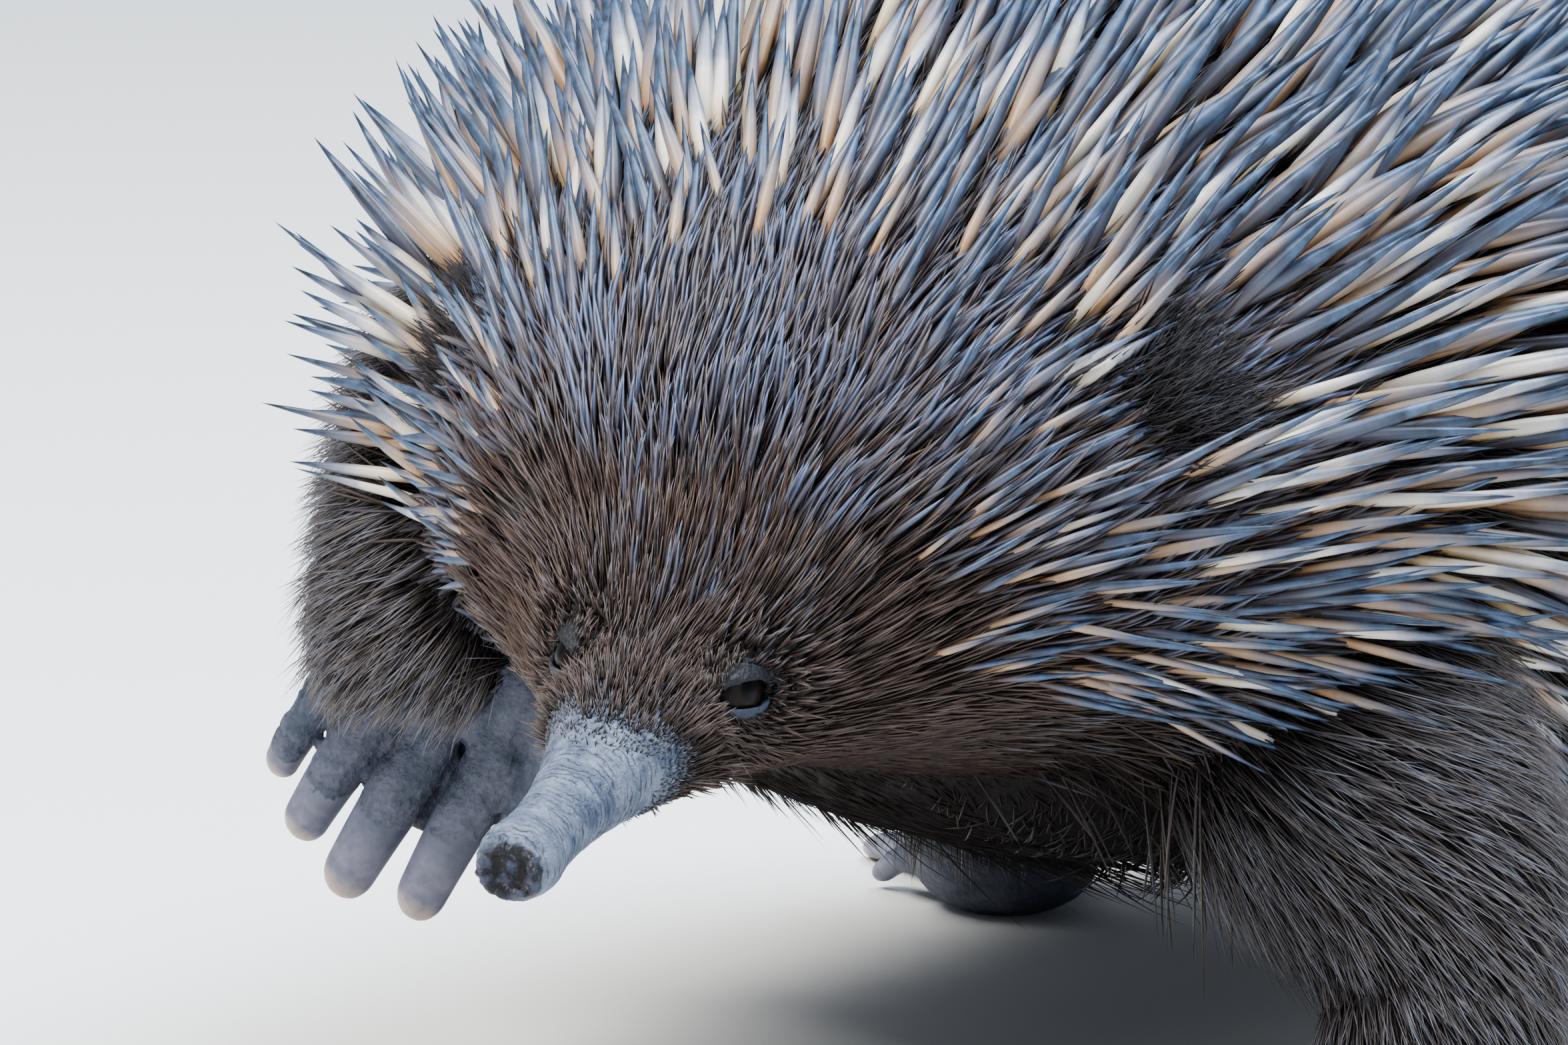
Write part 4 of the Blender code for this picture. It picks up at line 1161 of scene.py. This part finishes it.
def hair_finish(name, middle, tip, other_tip, roughness=0.42):
    """Hair that is dark at its root and paler at its tip, in two mixed colours."""
    finish = Finish(name, roughness, 0.35)
    along = finish.attribute("along")
    tone = finish.attribute("tone")
    tips = finish.mix(finish.ramp(tone, ((0.35, 0.0), (0.75, 1.0))), tip, other_tip)
    worn = finish.ramp(along, ((0.35, 0.0), (0.9, 1.0)))
    strength = finish.maths("MULTIPLY", worn, finish.ramp(tone, ((0.0, 0.15), (0.9, 1.0))))
    colour = finish.mix(finish.ramp(along, ((0.0, 0.0), (0.45, 1.0))), HAIR_ROOT, middle)
    finish.colour(finish.mix(strength, colour, tips))
    return finish.material


def hairline(roots):
    return np.interp(roots.round_degrees(), *np.array(HAIRLINE).T)


hair_materials = {
    "face_hair": hair_finish("face_hair_brown", HAIR_MIDDLE, HAIR_TAN, HAIR_GREY),
    # On the cheeks the second tip colour is a painted blue sheen
    "cheek_hair": hair_finish("cheek_hair_brown_sheen", HAIR_MIDDLE, HAIR_TAN, HAIR_SHEEN_BLUE),
}
for number, (name, start_y, end_y, count) in enumerate(FACE_COATS):
    rng = np.random.default_rng(21 + number)
    roots = Roots(*scattered(rng, count * 3, start_y, end_y))
    kept = np.interp(roots.place[:, 1], *FACE_HAIR_KEPT)
    roots.keep(rng.random(len(kept)) < kept)
    ring = eye_rings(roots.place)
    start = hairline(roots) + rng.uniform(-1.6, 1.2, len(ring))
    roots.keep((roots.place[:, 1] > start) & (ring > EYE_CLEAR))
    roots.keep_first(count)
    ring = eye_rings(roots.place)
    for side in (1, -1):
        place, _, _, look = eye_place(side)
        gap = roots.place - place
        ahead = gap @ look
        gap -= np.outer(ahead, look)
        near = (ahead > 0.0) * (1.0 - step_between(*EYE_PARTING, np.linalg.norm(gap, axis=1)))
        roots.back = unit(roots.back + unit(gap) * near[:, None] * 0.8)
    length = roots.read(FACE_HAIR_SIZES, 1) * rng.uniform(0.7, 1.15, len(ring))
    length *= np.interp(ring, *EYE_SHORTER)
    under = step_between(*JAW_ANGLES, roots.round_degrees())
    length *= 1.0 - 0.5 * under
    width = roots.read(FACE_HAIR_SIZES, 2) * rng.uniform(0.7, 1.35, len(ring))
    swing = swirl(roots.place, 16.0, 26.0)
    way = roots.ways(rng, 16.0 - 11.0 * under, 4.5 - 2.5 * under, swing, 4.0)
    bend = roots.sag(length, 0.15) + tufted(roots.place, 3.2, 0.3, rng)
    low_dark = 0.5 * step_between(40.0, 85.0, roots.round_degrees()) + 0.3 * under
    tone = np.clip(rng.random(len(ring)) + swirl(roots.place, 11.0, 0.7), 0.0, 1.0)
    tone *= 1.0 - low_dark
    fields = (way, length, width, bend, tone)
    roots.strands(name, hair_materials[name], "coat_brown", *fields, HAIR_STATIONS)

# Hairline fuzz
# Tiny pale-tipped hairs on the beak's root, where the bare skin runs in under the face hair.

FUZZ_HAIRS = 1500
# How far before and behind the hairline it grows
FUZZ_BAND = (-6.5, 1.5)
FUZZ_MIDDLE = (0.05, 0.05, 0.06)
FUZZ_PALE = (0.27, 0.25, 0.25)
FUZZ_BLUE = (0.23, 0.26, 0.32)
fuzz_material = hair_finish("hairline_fuzz_pale", FUZZ_MIDDLE, FUZZ_PALE, FUZZ_BLUE)
rng = np.random.default_rng(27)
roots = Roots(*scattered(rng, FUZZ_HAIRS * 4, -180.0, -158.0))
beyond = roots.place[:, 1] - hairline(roots)
inside = (beyond > FUZZ_BAND[0]) & (beyond < FUZZ_BAND[1]) & (eye_rings(roots.place) > EYE_CLEAR)
roots.keep(inside & (rng.random(len(beyond)) < 1.0 + beyond / 8.0))
roots.keep_first(FUZZ_HAIRS)
length = rng.uniform(0.7, 1.7, len(roots.arc))
width = rng.uniform(0.16, 0.26, len(length))
way = roots.ways(rng, 30.0, 9.0, 0.0, 18.0)
fields = (way, length, width, roots.sag(length, 0.2), rng.random(len(length)))
roots.strands("hairline_fuzz", fuzz_material, "coat_brown", *fields, HAIR_STATIONS, sunk=0.3)

# Spines
# Hollow keratin quills with long tapered points, set in staggered rows from the crown to the
# tail. About half are slate nearly all over, the others tan or cream with slate ends. The slate
# is dark keratin with a painted blue sheen of sky reflection streaked along it.

# Along the back: y, length, rise off the skin in degrees, how far round the body they grow,
# widest radius
SPINE_ZONES = np.array(
    (
        (-132.0, 13.0, 24.0, 96.0, 0.52),
        (-120.0, 19.5, 26.0, 106.0, 0.72),
        (-105.0, 26.5, 28.0, 118.0, 0.92),
        (-90.0, 31.0, 30.0, 127.0, 1.08),
        (-60.0, 35.0, 31.0, 130.0, 1.32),
        (0.0, 38.0, 30.0, 124.0, 1.55),
        (90.0, 43.0, 33.0, 120.0, 1.65),
        (140.0, 42.0, 38.0, 122.0, 1.65),
        (168.0, 30.0, 50.0, 137.0, 1.5),
        (195.0, 14.0, 62.0, 152.0, 1.1),
    )
)
# The y where spines start, by how far round the body they are in degrees
SPINE_FRONT = (
    (0, -120.0),
    (20, -122.0),
    (42, -127.0),
    (62, -132.0),
    (85, -128.0),
    (110, -116.0),
    (140, -97.0),
)
# Behind the front edge, on the crown, the first spines are slate, and on the cheeks many are
# tan: how far back, and the highest tone there
FRONT_SLATE = ((0.0, 7.0, 15.0), (0.60, 0.80, 1.0))
CHEEK_TAN = ((0.0, 14.0, 30.0), (0.80, 0.86, 1.0))
SPINE_SPACING = 5.4
# On the right they grow no further round than this over the raised foreleg: y, and degrees
RIGHT_LIMITS = ((-90.0, -70.0, -50.0, -45.0), (-92.0, -106.0, -106.0, -180.0))
# Each piece of the spines: its name, and its first and last y
SPINE_PIECES = (("head", -200, -80), ("neck", -80, -48), ("fore", -48, 48), ("hind", 48, 300))
SPINE_SIDES = 7
SPINE_STATIONS = ((0.0, 0.62), (0.16, 0.88), (0.38, 1.0), (0.6, 0.82), (0.82, 0.42))
# Below this angle they get shorter and thinner, and on the crown they are thicker
LOW_ANGLE = 78.0
CROWN_THICKER = 0.22
# Over the raised foreleg they stand up more: first and last y, first and last degree round,
# and by how many degrees
SHOULDER = (-95, -10, -115, -45)
SHOULDER_RISE = 20.0
EAR_Y = -95.0
EAR_ANGLE = 62.0
# How far from the body's axis an ear is, to turn an angle into a distance
EAR_OUT = 55.0
# Spines keep off each ear, left and right: along the body, round it, and past both sides of it
EAR_CLEAR = {1: (5.5, 9.0, 8.0), -1: (4.0, 5.0, 3.5)}
SLATE_DARK = (0.016, 0.024, 0.042)
# Painted sheen: the blue of the sky's reflection, streaked along the slate parts of the spines
SLATE_SHEEN_BLUE = (0.072, 0.115, 0.196)
# Down each kind of spine: share of its length and colour, up to where the slate begins
SPINE_SLATE = (
    (0.06, (0.030, 0.020, 0.016)),
    (0.2, (0.080, 0.060, 0.055)),
    (0.45, (0.085, 0.092, 0.125)),
)
SPINE_TAN = (
    (0.06, (0.055, 0.028, 0.016)),
    (0.22, (0.29, 0.155, 0.070)),
    (0.4, (0.36, 0.250, 0.165)),
    (0.6, (0.22, 0.185, 0.185)),
)
SPINE_CREAM = (
    (0.06, (0.080, 0.042, 0.022)),
    (0.22, (0.48, 0.34, 0.18)),
    (0.38, (0.62, 0.55, 0.44)),
    (0.56, (0.54, 0.50, 0.47)),
    (0.68, (0.27, 0.28, 0.33)),
)
# The tones above which a spine is tan, and above which it is cream
TAN_FROM = (0.47, 0.49)
CREAM_FROM = (0.78, 0.80)


def spine_finish():
    finish = Finish("spine_keratin", 0.4, 0.5)
    tone = finish.attribute("tone")
    streaks = finish.grain(0.3, 4.0)
    drift = finish.ramp(streaks, ((0.3, 0.0), (0.75, 0.14)))
    reach = finish.maths("ADD", finish.attribute("along"), drift)
    # Painted sheen: streaks of blue sky reflection over the dark slate
    slate = finish.mix(finish.ramp(streaks, ((0.35, 0.0), (0.68, 1.0))), SLATE_DARK, SLATE_SHEEN_BLUE)
    end = finish.ramp(finish.attribute("along"), ((0.75, 0.0), (1.0, 0.65)))
    slate = finish.mix(end, slate, SLATE_DARK)
    kinds = []
    for stops in (SPINE_SLATE, SPINE_TAN, SPINE_CREAM):
        last = stops[-1][0]
        blue = finish.ramp(reach, ((last, 0.0), (last + 0.2, 1.0)))
        kinds.append(finish.mix(blue, finish.ramp(reach, stops), slate))
    colour = finish.mix(finish.ramp(tone, tuple(zip(TAN_FROM, (0.0, 1.0)))), kinds[0], kinds[1])
    finish.colour(finish.mix(finish.ramp(tone, tuple(zip(CREAM_FROM, (0.0, 1.0)))), colour, kinds[2]))
    finish.bump(finish.grain(0.9, 3.0), 0.25, 0.15)
    return finish.material


def spine_rows(rng):
    """Staggered rows of arc lengths and angles, jittered."""
    arcs = []
    angles = []
    arc = arc_of_y(SPINE_ZONES[0, 0])
    row = 0
    while arc < arc_of_y(SPINE_ZONES[-1, 0]):
        centre, _, _, _, sizes = one_frame(arc)
        limit = np.interp(centre[1], SPINE_ZONES[:, 0], SPINE_ZONES[:, 3])
        spacing = min(SPINE_SPACING, 2.0 + 0.047 * sizes[0])
        count = max(1, round(math.radians(limit) * (sizes[0] + sizes[1]) / 2 / spacing))
        steps = (np.arange(-count, count + 1) + 0.5 * (row % 2)) * limit / count
        angles.append(steps + rng.uniform(-0.36, 0.36, len(steps)) * limit / count)
        arcs.append(arc + rng.uniform(-0.36, 0.36, len(steps)) * spacing)
        arc += spacing * 0.87
        row += 1
    return np.concatenate(arcs), np.radians(np.concatenate(angles))


def ear_place(side):
    """Arc length and angle of an ear, and its place on the body."""
    arc, angle = np.array([arc_of_y(EAR_Y)]), np.array([side * math.radians(EAR_ANGLE)])
    return arc, angle, body_points(arc, angle)[0]


def spine_front(roots):
    return np.interp(roots.round_degrees(), *np.array(SPINE_FRONT).T)


rng = np.random.default_rng(5)
roots = Roots(*spine_rows(rng), reach=2.5)
ear_gap = np.full(len(roots.arc), 99.0)
for side, (along, around, _) in EAR_CLEAR.items():
    arc, angle, _ = ear_place(side)
    gap = np.hypot((roots.arc - arc) / along, (roots.angle - angle) * EAR_OUT / around)
    ear_gap = np.minimum(ear_gap, gap)
front = spine_front(roots) + rng.uniform(-3.0, 1.5, len(roots.arc))
roots.keep((ear_gap > 1.0) & (roots.place[:, 1] > front))
roots.keep(np.degrees(roots.angle) > np.interp(roots.place[:, 1], *RIGHT_LIMITS))
degrees = np.degrees(roots.angle)
low = np.clip((np.abs(degrees) - LOW_ANGLE) / 46.0, 0.0, 1.0)
length = roots.read(SPINE_ZONES, 1) * rng.uniform(0.78, 1.12, len(low)) * (1.0 - 0.22 * low)
crown = 1.0 - step_between(35.0, 85.0, np.abs(degrees))
crown *= 1.0 - step_between(-98.0, -60.0, roots.place[:, 1])
width = roots.read(SPINE_ZONES, 4) * 2.0 * rng.uniform(0.75, 1.15, len(low)) * (1.0 - 0.38 * low)
width *= 1.0 + CROWN_THICKER * crown
shoulder = (roots.place[:, 1] > SHOULDER[0]) & (roots.place[:, 1] < SHOULDER[1])
shoulder &= (degrees > SHOULDER[2]) & (degrees < SHOULDER[3])
rise = roots.read(SPINE_ZONES, 2) + shoulder * SHOULDER_RISE
# Spines rooted before an ear end short of it
for side in (1, -1):
    arc, angle, _ = ear_place(side)
    ahead = arc - roots.arc
    beside = np.abs(roots.angle - angle) * EAR_OUT
    shorter = np.maximum(6.5, (ahead - 3.0) * 1.08)
    before = (beside < EAR_CLEAR[side][2]) & (ahead > 0.0)
    length = np.where(before, np.minimum(length, shorter), length)
swing = np.sign(degrees) * 7.0 * low + swirl(roots.place, 22.0, 24.0)
way = roots.ways(rng, rise, 4.0, swing, 5.0)
bend = roots.sag(length, rng.uniform(0.02, 0.12, len(low)))
behind = roots.place[:, 1] - spine_front(roots)
cheek = step_between(38.0, 60.0, np.abs(degrees))
tone = rng.random(len(low)) ** (1.0 - 0.3 * cheek)
tone *= np.interp(behind, *FRONT_SLATE) * (1.0 - cheek) + np.interp(behind, *CHEEK_TAN) * cheek
patch = unrolled(roots.arc / ARCS[-1], roots.angle)
fields = (roots.place, way, roots.normal, length, width, bend, tone, patch)
spine_material = spine_finish()
for label, start, end in SPINE_PIECES:
    here = (roots.place[:, 1] >= start) & (roots.place[:, 1] < end)
    spines = strand_mesh(
        "spines_" + label,
        *(field[here] for field in fields),
        SPINE_STATIONS,
        sides=SPINE_SIDES,
        flat=0.9,
        sunk=2.5,
    )
    spines.data.materials.append(spine_material)

# Crown bristles
# Flattened and grey, many with a painted blue sheen at their tips, half way between hair and
# spine, on the brow and round the foot of the spines, so that the two coats run into one another.

CROWN_BRISTLES = 4200
# Along the head: y, length, width, how far round they grow in degrees
CROWN_SIZES = np.array(
    (
        (-152, 9.5, 0.65, 20.0),
        (-138, 12.5, 1.0, 48.0),
        (-122, 14.5, 1.35, 90.0),
        (-105, 14.5, 1.45, 112.0),
        (-84, 16.0, 1.4, 122.0),
    )
)
CROWN_EYE_CLEAR = 11.0
BRISTLE_STATIONS = ((0.0, 0.8), (0.25, 1.0), (0.55, 0.9), (0.82, 0.5))
CROWN_SLATE = (0.062, 0.056, 0.070)
CROWN_TAN = (0.19, 0.16, 0.15)
# Painted sheen: blue tips for the sky's reflection on the flattened bristles
CROWN_SHEEN_BLUE = (0.125, 0.165, 0.270)
crown_material = hair_finish("crown_bristle_slate", CROWN_SLATE, CROWN_TAN, CROWN_SHEEN_BLUE, 0.40)
rng = np.random.default_rng(33)
roots = Roots(*scattered(rng, CROWN_BRISTLES * 3, -152.0, -84.0))
roots.keep(roots.round_degrees() < roots.read(CROWN_SIZES, 3) * rng.uniform(0.8, 1.1, len(roots.arc)))
roots.keep(eye_rings(roots.place) > CROWN_EYE_CLEAR)
roots.keep_first(CROWN_BRISTLES)
length = roots.read(CROWN_SIZES, 1) * rng.uniform(0.75, 1.15, len(roots.arc))
width = roots.read(CROWN_SIZES, 2) * rng.uniform(0.65, 1.2, len(length))
way = roots.ways(rng, 19.0, 4.0, swirl(roots.place, 18.0, 32.0), 4.0)
bend = roots.sag(length, 0.14) + tufted(roots.place, 5.0, 0.25, rng)
tone = np.clip(rng.random(len(length)) + swirl(roots.place, 11.0, 0.7), 0.0, 1.0)
tone *= 1.0 - 0.4 * step_between(45.0, 90.0, roots.round_degrees())
fields = (way, length, width, bend, tone)
roots.strands("crown_bristles", crown_material, "coat_brown", *fields, BRISTLE_STATIONS, flat=0.4)

# Under-fur and fringe
# Soft dark fur fills the gaps between the spines and covers the belly. Along the flanks'
# lower edge a fringe of long coarse hairs hangs back and down over the legs.

# Name, first and last y, number of hairs
BODY_FURS = (
    ("fur_fore", -112.0, -10.0, 9600),
    ("fur_middle", -10.0, 80.0, 6400),
    ("fur_hind", 80.0, 196.0, 6000),
)
FUR_DARK = (0.028, 0.019, 0.016)
FUR_BROWN = (0.090, 0.064, 0.050)
FUR_GREY = (0.085, 0.088, 0.105)
fur_material = hair_finish("body_fur_dark", FUR_DARK, FUR_BROWN, FUR_GREY, 0.5)
for number, (name, start_y, end_y, count) in enumerate(BODY_FURS):
    rng = np.random.default_rng(50 + number)
    roots = Roots(*scattered(rng, count, start_y, end_y))
    low = step_between(70.0, 130.0, roots.round_degrees())
    throat = low * (1.0 - step_between(-85.0, -50.0, roots.place[:, 1]))
    belly = step_between(125.0, 150.0, roots.round_degrees()) * (number == 0)
    length = (16.0 + 6.0 * low - 12.0 * throat) * (1.0 - 0.45 * belly)
    length *= rng.uniform(0.7, 1.2, len(low))
    width = rng.uniform(0.34, 0.66, len(low))
    rise = 20.0 - 14.0 * np.maximum(throat, belly)
    swing = np.sign(roots.angle) * (low - throat) * 34.0
    way = roots.ways(rng, rise, 5.0 - 3.0 * belly, swing, 8.0)
    # Short hairs are drawn together less, or they would lie across one another
    drawn = tufted(roots.place, 6.0, 0.4, rng) * np.minimum(length / 16.0, 1.0)[:, None] ** 2
    fields = (way, length, width, roots.sag(length, 0.12) + drawn, rng.random(len(low)))
    roots.strands(name, fur_material, "coat_brown", *fields, HAIR_STATIONS)

# The fringe grows where the spines end
FRINGE_HAIRS = 3600
FRINGE_BROWN = (0.040, 0.028, 0.023)
FRINGE_TAN = (0.17, 0.125, 0.092)
FRINGE_GREY = (0.13, 0.135, 0.165)
fringe_material = hair_finish("fringe_hair_brown", FRINGE_BROWN, FRINGE_TAN, FRINGE_GREY, 0.42)
rng = np.random.default_rng(59)
roots = Roots(*scattered(rng, FRINGE_HAIRS * 20, -118.0, 150.0))
past = roots.round_degrees() - roots.read(SPINE_ZONES, 3)
# It is thickest over the planted foreleg
thick = np.where((roots.angle > 0.0) & (roots.place[:, 1] < -15.0), 1.0, 0.4)
roots.keep(rng.random(len(past)) < thick * np.exp(-(((past - 4.0) / 13.0) ** 2)))
roots.keep_first(FRINGE_HAIRS)
rear = step_between(-112.0, -72.0, roots.place[:, 1])
length = (10.0 + 22.0 * rear) * rng.uniform(0.7, 1.15, len(rear))
length *= 1.0 - 0.7 * (roots.angle < 0.0) * (1.0 - step_between(-30.0, 0.0, roots.place[:, 1]))
width = rng.uniform(0.42, 0.8, len(length))
way = roots.ways(rng, 10.0 + 7.0 * rear, 4.0, np.sign(roots.angle) * 20.0 * rear, 7.0)
bend = roots.sag(length, 0.1) + tufted(roots.place, 7.0, 0.35, rng)
bend[:, 2] -= length * 0.16 * rear
fields = (way, length, width, bend, rng.random(len(length)))
roots.strands("flank_fringe", fringe_material, "coat_brown", *fields, BRISTLE_STATIONS)

# Leg hair
# Coarse hair runs down each leg and hangs over the top of the foot to the knuckles, paler at
# its tips than the belly's.

LEG_HAIRS = {"foreleg_left": 8300, "foreleg_right": 8600, "hindleg_left": 3200, "hindleg_right": 3200}
# The way hair lies on each leg's upper part, added to the way down the leg
LEG_FLOWS = {
    "foreleg_left": (0.8, 1.2, 0.0),
    "foreleg_right": (-2.2, 0.5, 0.4),
    "hindleg_left": (0, 0.5, 0),
    "hindleg_right": (0, 0.5, 0),
}
# Down a leg: share of the way, and length of the hair
LEG_HAIR_LENGTHS = ((0.1, 0.5, 0.95), (18.0, 14.0, 10.0))
LEG_BROWN = (0.064, 0.052, 0.051)
LEG_TAN = (0.285, 0.240, 0.215)
LEG_GREY = (0.250, 0.258, 0.305)
leg_material = hair_finish("leg_hair_brown", LEG_BROWN, LEG_TAN, LEG_GREY, 0.45)
for number, (name, count) in enumerate(LEG_HAIRS.items()):
    rng = np.random.default_rng(70 + number)
    shares = rng.uniform(0.05, 0.99, count * 2)
    angles = rng.uniform(-math.pi, math.pi, count * 2)
    points, down, out = limb_points(LIMBS[name], shares, angles)
    roots, normals, close = seated(points, out, 3.0)
    dorsal = foot_axes(name.replace("leg", "foot"))[2]
    low_edge = 0.82 + 0.16 * step_between(-0.3, 0.5, out @ dorsal)
    keep = close & (shares < low_edge) & (roots[:, 2] > 5.0)
    shares, angles, roots, normals, down, out = (
        field[keep][:count] for field in (shares, angles, roots, normals, down, out)
    )
    length = np.interp(shares, *LEG_HAIR_LENGTHS) * rng.uniform(0.75, 1.2, len(roots))
    width = rng.uniform(0.22, 0.4, len(roots))
    flow = unit(down + np.array(LEG_FLOWS[name]) * (1.0 - 0.75 * shares)[:, None])
    flow = unit(flow - normals * np.sum(flow * normals, axis=1, keepdims=True) * 0.8)
    around = np.cross(normals, flow)
    rises = rng.normal(17.0, 5.0, len(roots))
    way = tilted(flow, around, normals, rises, rng.normal(0, 8, len(roots)))
    bend = -normals * (length * 0.12)[:, None] + tufted(roots, 4.5, 0.4, rng)
    # Hairs that would reach into the floor are cut short of it
    tip_z = roots[:, 2] + way[:, 2] * length + bend[:, 2]
    length = length * np.clip((roots[:, 2] - 1.5) / np.maximum(roots[:, 2] - tip_z, 1e-3), 0.2, 1.0)
    fields = (roots, way, normals, length, width, bend, rng.random(len(roots)))
    hair = strand_mesh(name + "_hair", *fields, unrolled(shares, angles), HAIR_STATIONS)
    hair.data.materials.append(leg_material)

# Ears
# Each ear is only a slit in a low fleshy rim, almost hidden in a tuft of soft black fur.
# The rim is a ball that a longer ball cuts, set half into the skin behind the eye.

# Half sizes along the body, round it and outwards
EAR_HALF = (4.6, 8.0, 3.6)
EAR_SLIT_HALF = (1.9, 6.0, 5.5)
EAR_SLIT_OUT = 3.0
EAR_VOXEL = 0.6
EAR_SMOOTHING = 4
EAR_SKIN_DARK = (0.010, 0.008, 0.008)
EAR_SKIN_LIGHT = (0.028, 0.022, 0.022)
EAR_TUFT_HAIRS = 1300
# How far before the ear the tuft's middle is, and how it spreads along and round the body
EAR_TUFT_AHEAD = 2.0
EAR_TUFT_SPREAD = (3.2, 6.0)
TUFT_BLACK = (0.012, 0.009, 0.009)
TUFT_BROWN = (0.040, 0.030, 0.028)
TUFT_GREY = (0.035, 0.035, 0.045)
ear_finish = Finish("ear_skin_dark", 0.6)
ear_finish.colour(ear_finish.mix(ear_finish.grain(0.8), EAR_SKIN_DARK, EAR_SKIN_LIGHT))
ear_finish.bump(ear_finish.grain(1.5), 0.4, 0.2)
tuft_material = hair_finish("ear_tuft_black", TUFT_BLACK, TUFT_BROWN, TUFT_GREY, 0.5)
for side, name in ((1, "left"), (-1, "right")):
    arc, angle, place = ear_place(side)
    axes = [v[0] for v in body_lie(arc, angle)]
    ear = ball("ear_rim_" + name, place, EAR_HALF, axes)
    slit = ball("slit", place + axes[2] * EAR_SLIT_OUT, EAR_SLIT_HALF, axes)
    cut_or_join(ear, "DIFFERENCE", [slit])
    ear = melted("ear_rim_" + name, [ear], EAR_VOXEL, EAR_SMOOTHING)
    bpy.ops.object.shade_smooth()
    ear.data.materials.clear()
    ear.data.materials.append(ear_finish.material)
    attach(ear, "root")
    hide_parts("ear_" + name)
    rng = np.random.default_rng(90 + (side > 0))
    spread = rng.normal(0.0, 1.0, (EAR_TUFT_HAIRS, 2)) * EAR_TUFT_SPREAD
    roots = Roots(arc[0] - EAR_TUFT_AHEAD + spread[:, 0], angle[0] + spread[:, 1] / EAR_OUT)
    length = rng.uniform(7.0, 13.0, len(roots.arc))
    width = rng.uniform(0.26, 0.42, len(length))
    way = roots.ways(rng, 44.0, 9.0, 0.0, 18.0)
    bend = roots.sag(length, 0.15) + tufted(roots.place, 4.0, 0.3, rng)
    fields = (way, length, width, bend, rng.random(len(length)))
    roots.strands("ear_tuft_" + name, tuft_material, "coat_brown", *fields, HAIR_STATIONS)

# Floor
# A plain pale studio floor that runs out of sight.

FLOOR_SIZE = 60.0
FLOOR_PALE = (0.76, 0.76, 0.74)
bpy.ops.object.select_all(action="DESELECT")
bpy.ops.mesh.primitive_plane_add(size=FLOOR_SIZE)
floor = bpy.context.object
floor.name = "floor"
floor_finish = Finish("floor_pale", 0.8, 0.2)
floor_finish.colour(FLOOR_PALE)
floor.data.materials.append(floor_finish.material)

# Light
# Soft studio light: a broad key from above and the viewer's left, a cool top light, a low
# fill from the right and a pale sky all round.

LIGHT_AIM = Vector((0, -0.05, 0.08))
SKY_COLOUR = (0.80, 0.87, 1.0, 1.0)
SKY_STRENGTH = 0.5
# Name, place, size, power, colour
LIGHTS = (
    ("key", (-0.55, -0.9, 1.7), 1.0, 64.0, (1.0, 0.97, 0.93)),
    ("top", (0.45, 0.4, 1.8), 1.2, 68.0, (0.74, 0.86, 1.0)),
    ("fill", (1.6, -1.2, 0.5), 1.2, 9.0, (0.86, 0.92, 1.0)),
)
for name, place, size, power, colour in LIGHTS:
    lamp = bpy.data.lights.new(name, "AREA")
    lamp.size = size
    lamp.energy = power
    lamp.color = colour
    light = bpy.data.objects.new(name, lamp)
    light.location = place
    light.rotation_euler = (LIGHT_AIM - light.location).to_track_quat("-Z", "Y").to_euler()
    bpy.context.scene.collection.objects.link(light)
world = bpy.data.worlds.new("sky")
world.use_nodes = True
sky = world.node_tree.nodes["Background"]
sky.inputs["Color"].default_value = SKY_COLOUR
sky.inputs["Strength"].default_value = SKY_STRENGTH
bpy.context.scene.world = world
bpy.context.scene.view_settings.view_transform = "AgX"
bpy.context.scene.view_settings.look = "AgX - Medium High Contrast"

# Camera
# Low in front, to the animal's left and a little above its eyes, far off with a long lens.

# A point between the eyes, the way to the right of the picture and the way to the camera
EYE_POINT = Vector((0.0, -0.151, 0.075))
VIEW_RIGHT = Vector((0.906, 0.423, 0.0)).normalized()
TO_CAMERA = Vector((0.4185, -0.8975, 0.1392)).normalized()
FOCAL = 405.0
SENSOR_WIDTH = 36.0
# The photo's scale at the head, and how far the camera is right of that point, above it and
# away from it, in its pixels
PIXELS_PER_MM = 11.5
CENTRE_OFFSET_PIXELS = (198.0, 220.0, 26460.0)

view_up = TO_CAMERA.cross(VIEW_RIGHT).normalized()
view_right = view_up.cross(TO_CAMERA).normalized()
across, above, towards = (pixels / PIXELS_PER_MM * MM for pixels in CENTRE_OFFSET_PIXELS)
camera_data = bpy.data.cameras.new("photo_camera")
camera_data.lens = FOCAL
camera_data.sensor_width = SENSOR_WIDTH
camera_data.clip_end = 60.0
camera = bpy.data.objects.new("photo_camera", camera_data)
place = EYE_POINT + view_right * across + view_up * above + TO_CAMERA * towards
axes = Matrix((view_right, view_up, TO_CAMERA)).transposed().to_4x4()
camera.matrix_world = Matrix.Translation(place) @ axes
bpy.context.scene.collection.objects.link(camera)
bpy.context.scene.camera = camera
